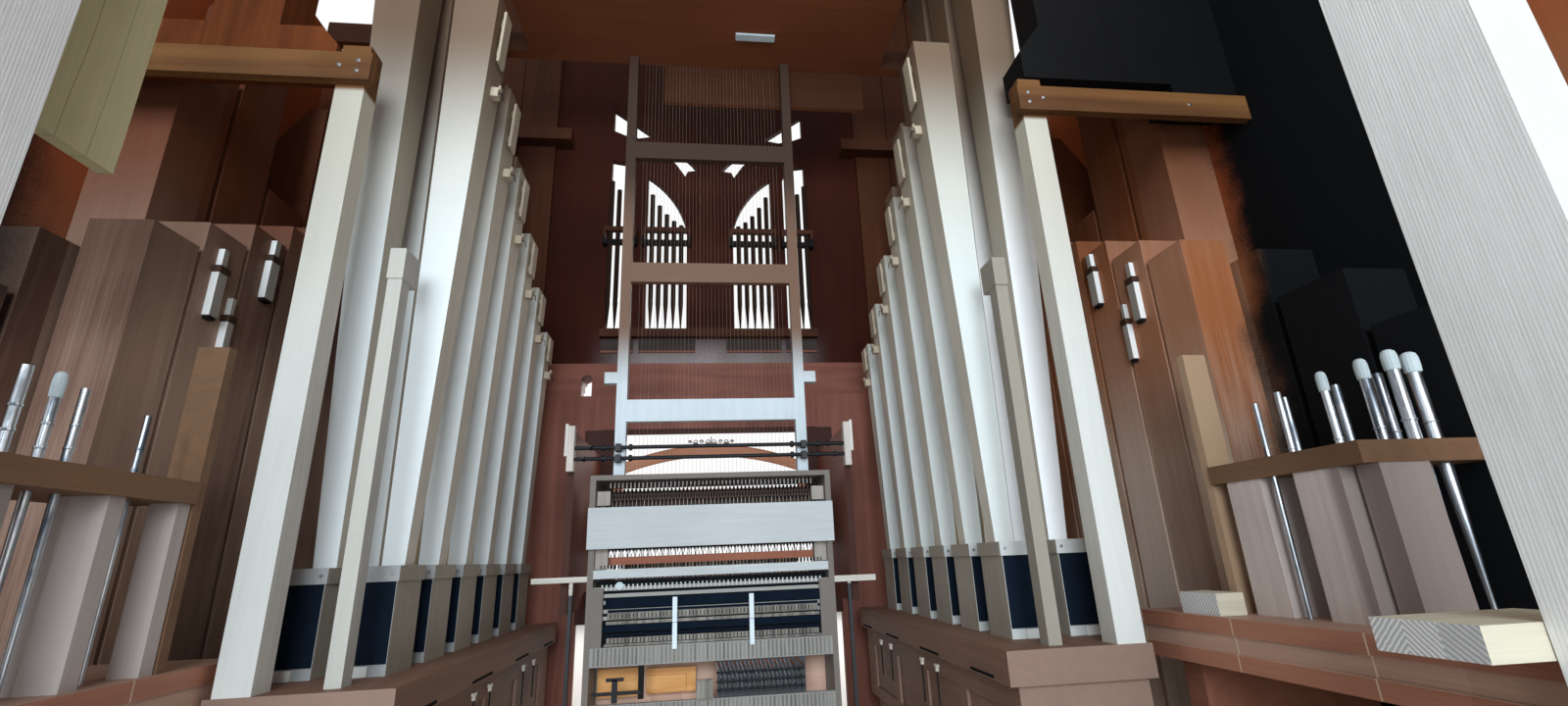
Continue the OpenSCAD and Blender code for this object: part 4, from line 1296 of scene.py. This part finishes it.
tracker_pine = timber("tracker_pine", "54483f", "b7a998", "Z", 0.3, 12.0, 0.55, [("X", 0.01425, 0.6)], 41.0)
slat_grey = timber("slat_grey", "57524c", "999389", "Z", 0.3, 12.0, 0.55, [("X", 0.0142, 0.5)], 42.0)
square_brown = timber("square_brown", "1d120d", "43302a", "X", 0.2, 9.0, 0.55, [], 40.0)
joinery("square_rail", [(-392, 392, 1930, 1944, 992, 1054)], square_brown)
tracker_row("trackers_upper", 1905, 990, 1042, tracker_pine)
# A dark copy of the tracker pine: painted shade for the middle and deep trackers.
painted_shade_tracker_pine = timber("painted_shade_tracker_pine", "17100d", "55443a", "Z", 0.3, 12.0, 0.55, [("X", 0.01425, 0.6)], 41.5)
tracker_row("trackers_middle", 1912, 700, 832, painted_shade_tracker_pine)
tracker_row("trackers_deep", 2050, 600, 985, painted_shade_tracker_pine, count=30, half=370)
note_row("teeth_top", tooth, 1882, 1050, black_felt)
note_row("teeth_top_fine", fine_tooth, 1895, 1032, black_felt, 74, 388)
for name, depth, z in (("teeth_mid", 1868, 846), ("teeth_low", 1862, 790), ("teeth_lowest", 1862, 734)):
    note_row(name, fine_tooth, depth, z, black_felt, 66, 388)
note_row("pins_top", pale_pin, 1900, 1074, block_pine, 52, 372)
note_row("pins_low", pale_pin, 1850, 722, block_pine, 52, 380)
end_blocks = []
for side in SIDES:
    end_blocks.append((*across(side, 366, 412), 1856, 1886, 783, 852))
    end_blocks.append((*across(side, 366, 412), 1858, 1880, 1000, 1050))
end_block_pine = timber("end_block_pine", "857b72", "b3aaa2", "Z", 0.2, 9.0, 0.55, [], 40.8)
joinery("action_end_blocks", end_blocks, end_block_pine)
disc = turned("disc_shape", [(0, 0), (13, 0), (14, 1.5), (12, 3), (0, 3.2)], 20)
at_places("white_disc", disc, [(spot(322, 1852, 726), ONE, TO_THE_BACK)], white_felt)
print("rows of the action grown")

# %% [markdown]
# Below, four felted bands alternate with four pale slotted rails, and the lowest rail is a broad comb whose
# upright slats stand a few millimetres proud. Two white slats with a joint in the middle hold the bands.

# %% Bands, slotted rails and stays
BAND_LEFT, BAND_RIGHT = 358, -366
bands = [(656, 686, 8), (642, 650, 0), (580, 602, 16), (566, 573, 4)]
rails = [(621, 640, 0), (604, 614, 4), (545, 562, 0), (536, 543, 8)]


def band_boards(strips, d0, d1):
    return [(BAND_RIGHT - more, BAND_LEFT + more, d0, d1, z0, z1) for z0, z1, more in strips]


joinery("felt_bands", band_boards(bands, 1843, 1853), navy_leather)
joinery("slotted_rails", band_boards(rails, 1839, 1850), slat_grey)
joinery("comb_back", [(-402, 402, 1853, 1860, 475, 746)], black_felt)
band_ends = [(side * 393 - 19, side * 393 + 19, 1832, 1851, 534, 722) for side in SIDES]
joinery("band_ends", band_ends, cheek_pine)
# The black slits in the slotted rails are painted shade for their openings.
slit = prototype("slit_shape", [(-1.4, 1.4, 0, 1.4, -7, 7)], 0)
for k, z in enumerate((630, 553)):
    note_row(f"rail_slits_{k}", slit, 1839.5, z, black_felt, 56, 346)
tracker_row("comb_slats", ACTION, 479, 531, slat_grey, slat, 58, 396)
stay_boards = []
for x in (-131, 131):
    stay_boards.append((x - 8, x + 8, 1819, 1827, 604, 684))
    stay_boards.append((x - 8, x + 8, 1823, 1831, 520, 602))
    stay_boards.append((x - 6, x + 6, 1831, 1838, 520, 684))
white_slat = timber("white_slat", "c3d6de", "f0f7fa", "Z", 0.1, 12.0, 0.5, [], 43.0)
joinery("stay_slats", stay_boards, white_slat)
print("bands and stays made")

# %% [markdown]
# The roller board at the lower right carries three thin rollers, each with a row of levers. Wires and short
# red sticks fan from its upper edge, and a grey slotted block stands beside it. On the left an iron bar with
# a T-shaped bracket crosses in front of brightly lit oak.

# %% Roller board, bracket and lit boards
ROD_HEIGHTS = (386, 412, 440)
fan = []
for k in range(19):
    x = -8 - 13.5 * k
    fan.append([spot(x, 1828, 470), spot(x - 16, 1828, 424), spot(x - 18, 1829, 392)])
wires("roller_fan", fan, 1.4, steel)
rods = [[spot(-8, 1822, z), spot(-306, 1822, z)] for z in ROD_HEIGHTS]
wires("roller_rods", rods, 3.2, black_iron, 8)
lever = prototype("lever_shape", [(-1.5, 1.5, -8, 4, -9, 9), (-4, 4, -11, -7, -3, 3)], 0.4)
for k, z in enumerate(ROD_HEIGHTS):
    first, last = spot(-20 - 4 * k, 1824, z), spot(-296 + 4 * k, 1824, z)
    row(f"roller_levers_{k}", lever, 14, first, last, black_iron)
iron_bar = [(240, 400, 1838, 1850, 388, 398), (316, 334, 1832, 1842, 366, 436)]
iron_bar.append((296, 354, 1832, 1842, 430, 440))
joinery("bar_and_bracket", iron_bar, black_iron)
joinery("dark_strut", [(232, 250, 1842, 1862, 372, 470)], black_wood)
# The bright orange of these boards and of their oak is painted light.
oak_with_painted_light = timber("oak_with_painted_light", "c9813c", "f3b873", "X", 0.35, 8.0, 0.45, [("Z", 0.05, 0.4)], 44.0)
lit_boards = [(62, 232, 1960, 1975, 366, 446), (95, 232, 1950, 1962, 372, 424)]
lit_boards.append((252, 400, 1962, 1976, 361, 452))
joinery("lit_boards", lit_boards, oak_with_painted_light)
warm_pine = timber("warm_pine", "b98e78", "e9c4ae", "X", 0.2, 8.0, 0.5, [("X", 0.11, 0.5)], 44.5)
joinery("warm_back", [(-405, 405, 1990, 2002, 330, 476)], warm_pine)
red_sticks = []
for k in range(11):
    x = -16 - 27 * k
    red_sticks.append([spot(x + 10, 1831, 474), spot(x - 22, 1831, 446)])
red_wood = timber("red_wood", "4a241a", "8a5546", "X", 0.2, 9.0, 0.5, [("X", 0.027, 0.4)], 44.8)
wires("red_sticks", red_sticks, 3.4, red_wood, 4)
block_boards = [(3, 58, 1826, 1842, 361, 420), (8, 53, 1822, 1828, 366, 415)]
joinery("slotted_block", block_boards, slat_grey)
tracker_row("low_slats", 1832, 216, 358, slat_grey, slat, 58, 396)
print("roller board dressed")

# %% [markdown]
# Thin trackers go on from the action up between the ladder's posts to the great chest, far too fine to be
# seen one by one, but together they veil the show front. On each ladder crossing they pass behind the wood.

# %% Long trackers of the ladder
places = [(spot(292 - 584 * k / 38, 1926, 1105), (1, 1, 1895), LEVEL) for k in range(39)]
thin_tracker = prototype("thin_tracker_shape", [(-0.3, 0.3, -1, 1, 0, 1)], 0)
tracker_brown = timber("tracker_brown", "5b4638", "a08877", "Z", 0.3, 12.0, 0.5, [("X", 0.0157, 0.5)], 45.0)
at_places("ladder_trackers", thin_tracker, places, tracker_brown)
print("ladder trackers hung")

# %% [markdown]
# The rollers turn, so the collars beside the posts' blocks ride with the rollers' own bodies.
# The end plates are doubled by a thinner offset half that stays with the case.

# %% Roller collars and plates
ring_collar = turned("ring_shape", [(7.2, -6), (11.5, -6), (12, -5), (12, 5), (11.5, 6), (7.2, 6)], 20)
for body, z in (("upper_roller", 1208), ("lower_roller", 1168)):
    places = [(spot(x, 1858, z), ONE, (0, math.pi / 2, 0)) for x in (-396, -300, 300, 396)]
    at_places(f"collars_{body}", ring_collar, places, black_iron, body)
plate_boards = [(x0, x0 + 10, 1842, 1874, 1178, 1296) for x0 in (524.5, -534.5)]
plate_white = timber("plate_white", "bdb3a8", "e8e2da", "Z", 0.3, 12.0, 0.5, [], 46.0)
joinery("plate_halves", plate_boards, plate_white)
print("rollers dressed")

# %% [markdown]
# The music desk's back is edged with a bead, and a small cresting of bent wire stands on it. It is made of
# plain spirals that mirror each other, as on any cabinet, and carries no sign or letter.
# Two side boards and a lintel narrow the opening of the key desk to the width that the back shows.

# %% Cresting of the music desk
CREST_BOTTOM = 1316
CREST_DEPTH = 2478
CURLS = ((14, 13), (44, 10), (72, 12), (98, 8))
crest = []
for side in SIDES:
    for k, (start, size) in enumerate(CURLS):
        curl = []
        for n in range(22):
            angle = 0.45 * n * (1 if k % 2 else -1)
            reach = size * (1.0 - n / 30)
            x, rise = start + reach * math.cos(angle), 16 + reach * math.sin(angle)
            curl.append(spot(side * x, CREST_DEPTH, CREST_BOTTOM + rise))
        crest.append(curl)
    waves = [(x, 4 + 6 * math.sin(x / 9.0)) for x in range(0, 116, 5)]
    crest.append([spot(side * x, CREST_DEPTH, CREST_BOTTOM + rise) for x, rise in waves])
crest.append([spot(0, CREST_DEPTH, CREST_BOTTOM), spot(0, CREST_DEPTH, CREST_BOTTOM + 40)])
wires("desk_cresting", crest, 1.9, crest_wood, 5)
beads = []
for radius, centre_z in ((1088, 225), (1149, 116)):
    beads.append([spot(x, 2470, centre_z + math.sqrt(radius**2 - x**2)) for x in range(-396, 397, 33)])
wires("desk_beads", beads, 2.6, desk_cherry, 8)
side_boards = [(-499, 499, 2472, 2484, 1370, 1396)]
for side in SIDES:
    side_boards.append((*across(side, 432, 499), 2472, 2484, 1105, 1370))
joinery("desk_side_boards", side_boards, desk_oak)
print("music desk finished")

# %% [markdown]
# The player's side: black keys on both manuals and a column of six drawstops on each jamb. A drawstop is a
# turned knob with a pale face.

# %% Keys and drawstops
sharp_key = prototype("sharp_shape", [(-5.5, 5.5, -48, 48, 0, 11)], 1.5)
KEY_WIDTH = 23.5
NATURALS = 33
sharps = []
for z, middle in ((722, 2643), (797, 2548)):
    for k in range(NATURALS - 1):
        if k % 7 in (0, 1, 3, 4, 5):
            x = KEY_WIDTH * (k + 1 - NATURALS / 2)
            sharps.append((spot(x, middle, z), ONE, LEVEL))
at_places("sharp_keys", sharp_key, sharps, ebony)
knob = turned("knob_shape", [(6, 0), (6, 26), (9, 30), (15, 34), (17, 40), (16, 47), (12, 50)], 18)
face = turned("face_shape", [(0, 49.6), (11.5, 49.6), (11.5, 50.8), (9, 51.6), (0, 51.8)], 18)
knobs = []
for side in SIDES:
    for level in range(6):
        knobs.append((spot(side * 552, 2515, 960 + 66 * level), ONE, TO_THE_FRONT))
at_places("drawstop_knobs", knob, knobs, ebony)
at_places("drawstop_faces", face, knobs, bone)
print(len(sharps), "sharps and", len(knobs), "drawstops")

# %% [markdown]
# Panels get a raised bead inside their frames on the outside of the lower front and the side walls. On the
# back of the show front dark panels with a light lower edge sit under the pipe fields.

# %% Panel mouldings


def strips_round(low, high, z0, z1, width):
    """Four strips round an upright field that runs from low to high: the ends of each, and its two heights"""
    return [
        (low, high, z0, z0 + width),
        (low, high, z1 - width, z1),
        (low, low + width, z0 + width, z1 - width),
        (high - width, high, z0 + width, z1 - width),
    ]


PANEL_STILE = 92
front_beads = []
for side in SIDES:
    for x0, x1 in ((580, 1115), (1115, CASE_HALF)):
        field = across(side, x0 + PANEL_STILE, x1 - PANEL_STILE)
        for a, b, low, high in strips_round(*field, 212, 1468, 16):
            front_beads.append((a, b, 2506, 2517, low, high))
joinery("front_beads", front_beads, case_oak)
deep_panels, panel_edges = [], []
for side in SIDES:
    for near, far in ((76, 350), (376, 528)):
        deep_panels.append((*across(side, near, far), 2478, LOWER_FRONT, 1782, 1845))
        panel_edges.append((*across(side, near, far), 2474, LOWER_FRONT, 1772, 1782))
joinery("field_panels", deep_panels, square_brown)
joinery("field_panel_edges", panel_edges, case_oak_long)

for side in SIDES:
    strips = []
    for d0, d1 in ((140, 1182), (1303, 2345)):
        for z0, z1 in ((240, 1450), (1590, 2860)):
            for a, b, low, high in strips_round(d0, d1, z0, z1, 18):
                strips.append((*across(side, CASE_HALF - 10, CASE_HALF - 1), a, b, low, high))
    joinery(f"wall_beads_{side_name(side)}", strips, case_oak)
# A pale felt strip under the great chest stands for light seen through a slit: painted light.
joinery("chest_strip", [(-283, -111, 1713, 1749, 2991, 3001)], white_felt)
print("panels framed")

# %% [markdown]
# Every flue pipe speaks through a mouth: a black slot of painted shade for the opening, with a flat upper lip
# and a lower lip, and two small ears. The prototype is one mouth of unit width, scaled to each pipe's radius.

# %% Mouths of the flue pipes
mouth = prototype("mouth_shape", [(-0.72, 0.72, -0.2, 0.12, -0.05, 0.55)], 0)
lips = [(-0.8, 0.8, -0.1, 0.06, -0.9, -0.05), (-0.8, 0.8, -0.1, 0.06, 0.55, 1.7)]
ears = [(-0.9, -0.74, -0.34, 0.0, -0.2, 0.9), (0.74, 0.9, -0.34, 0.0, -0.2, 0.9)]
lip = prototype("lip_shape", lips + ears, 0)
mouths = []


def add_mouth(x, depth, z, radius, facing=1):
    turn = (0, 0, 0 if facing > 0 else math.pi)
    mouths.append((spot(x, depth + facing * radius * 0.9, z), (radius,) * 3, turn))


for side in SIDES:
    for k in range(-4, 5):
        add_mouth(side * (1115 + 104 * k), 2581, 2050 + 20 * abs(k), 47 - 5 * abs(k))
for rank in range(3):
    for k in range(-8, 9):
        radius = max(9, 30 * 2 ** (-0.8 * abs(k) / 12) - 5 * rank)
        add_mouth(88 * k, 1055 + 300 * rank, 3440, radius, -1)
for side in SIDES:
    for x in (147, 184, 221, 258, 295, 428, 465, 502):
        add_mouth(side * x, 2455, 2040, 12)
at_places("pipe_mouths", mouth, mouths, black_felt)
at_places("pipe_lips", lip, mouths, front_tin)
print(len(mouths), "mouths")

# %% [markdown]
# Small fittings finish the joinery: the screws of the rails over the posts and of the key action's cheeks,
# and the slots and catches of the chests under the reeds.

# %% Screws and slots
rail_screws = []
for side in SIDES:
    for x, z in ((912, 2030), (912, 2062), (956, 2046), (1420, 2046)):
        rail_screws.append((spot(side * x, 899.5, z), (1.3, 1.3, 1), TO_THE_BACK))
    for depth in (1860, 1945, 2040):
        rail_screws.append((spot(side * 436, depth, 1020), ONE, (0, side * math.pi / 2, 0)))
at_places("rail_screws", screw, rail_screws, steel)
slots, catches, stems = [], [], []
for side in SIDES:
    for d0, d1 in ((1010, 1150), (1390, 1560), (1800, 1960), (2180, 2330)):
        slots.append((*across(side, 634.2, 637), d0, d1, 512, 519))
    for depth in (1480, 1620, 1990, 2130):
        catches.append((*across(side, 652, 661), depth - 12, depth + 12, 470, 478))
        catches.append((*across(side, 652, 661), depth - 5, depth + 5, 458, 470))
        stems.append([spot(side * 655, depth, 470), spot(side * 655, depth, 352)])
# The chests' slots are black felt strips: painted shade for the gaps.
joinery("chest_slots", slots, black_felt, arris=0.3)
joinery("chest_catches", catches, bone)
wires("catch_wires", stems, 2.4, black_iron)
print("fittings added")
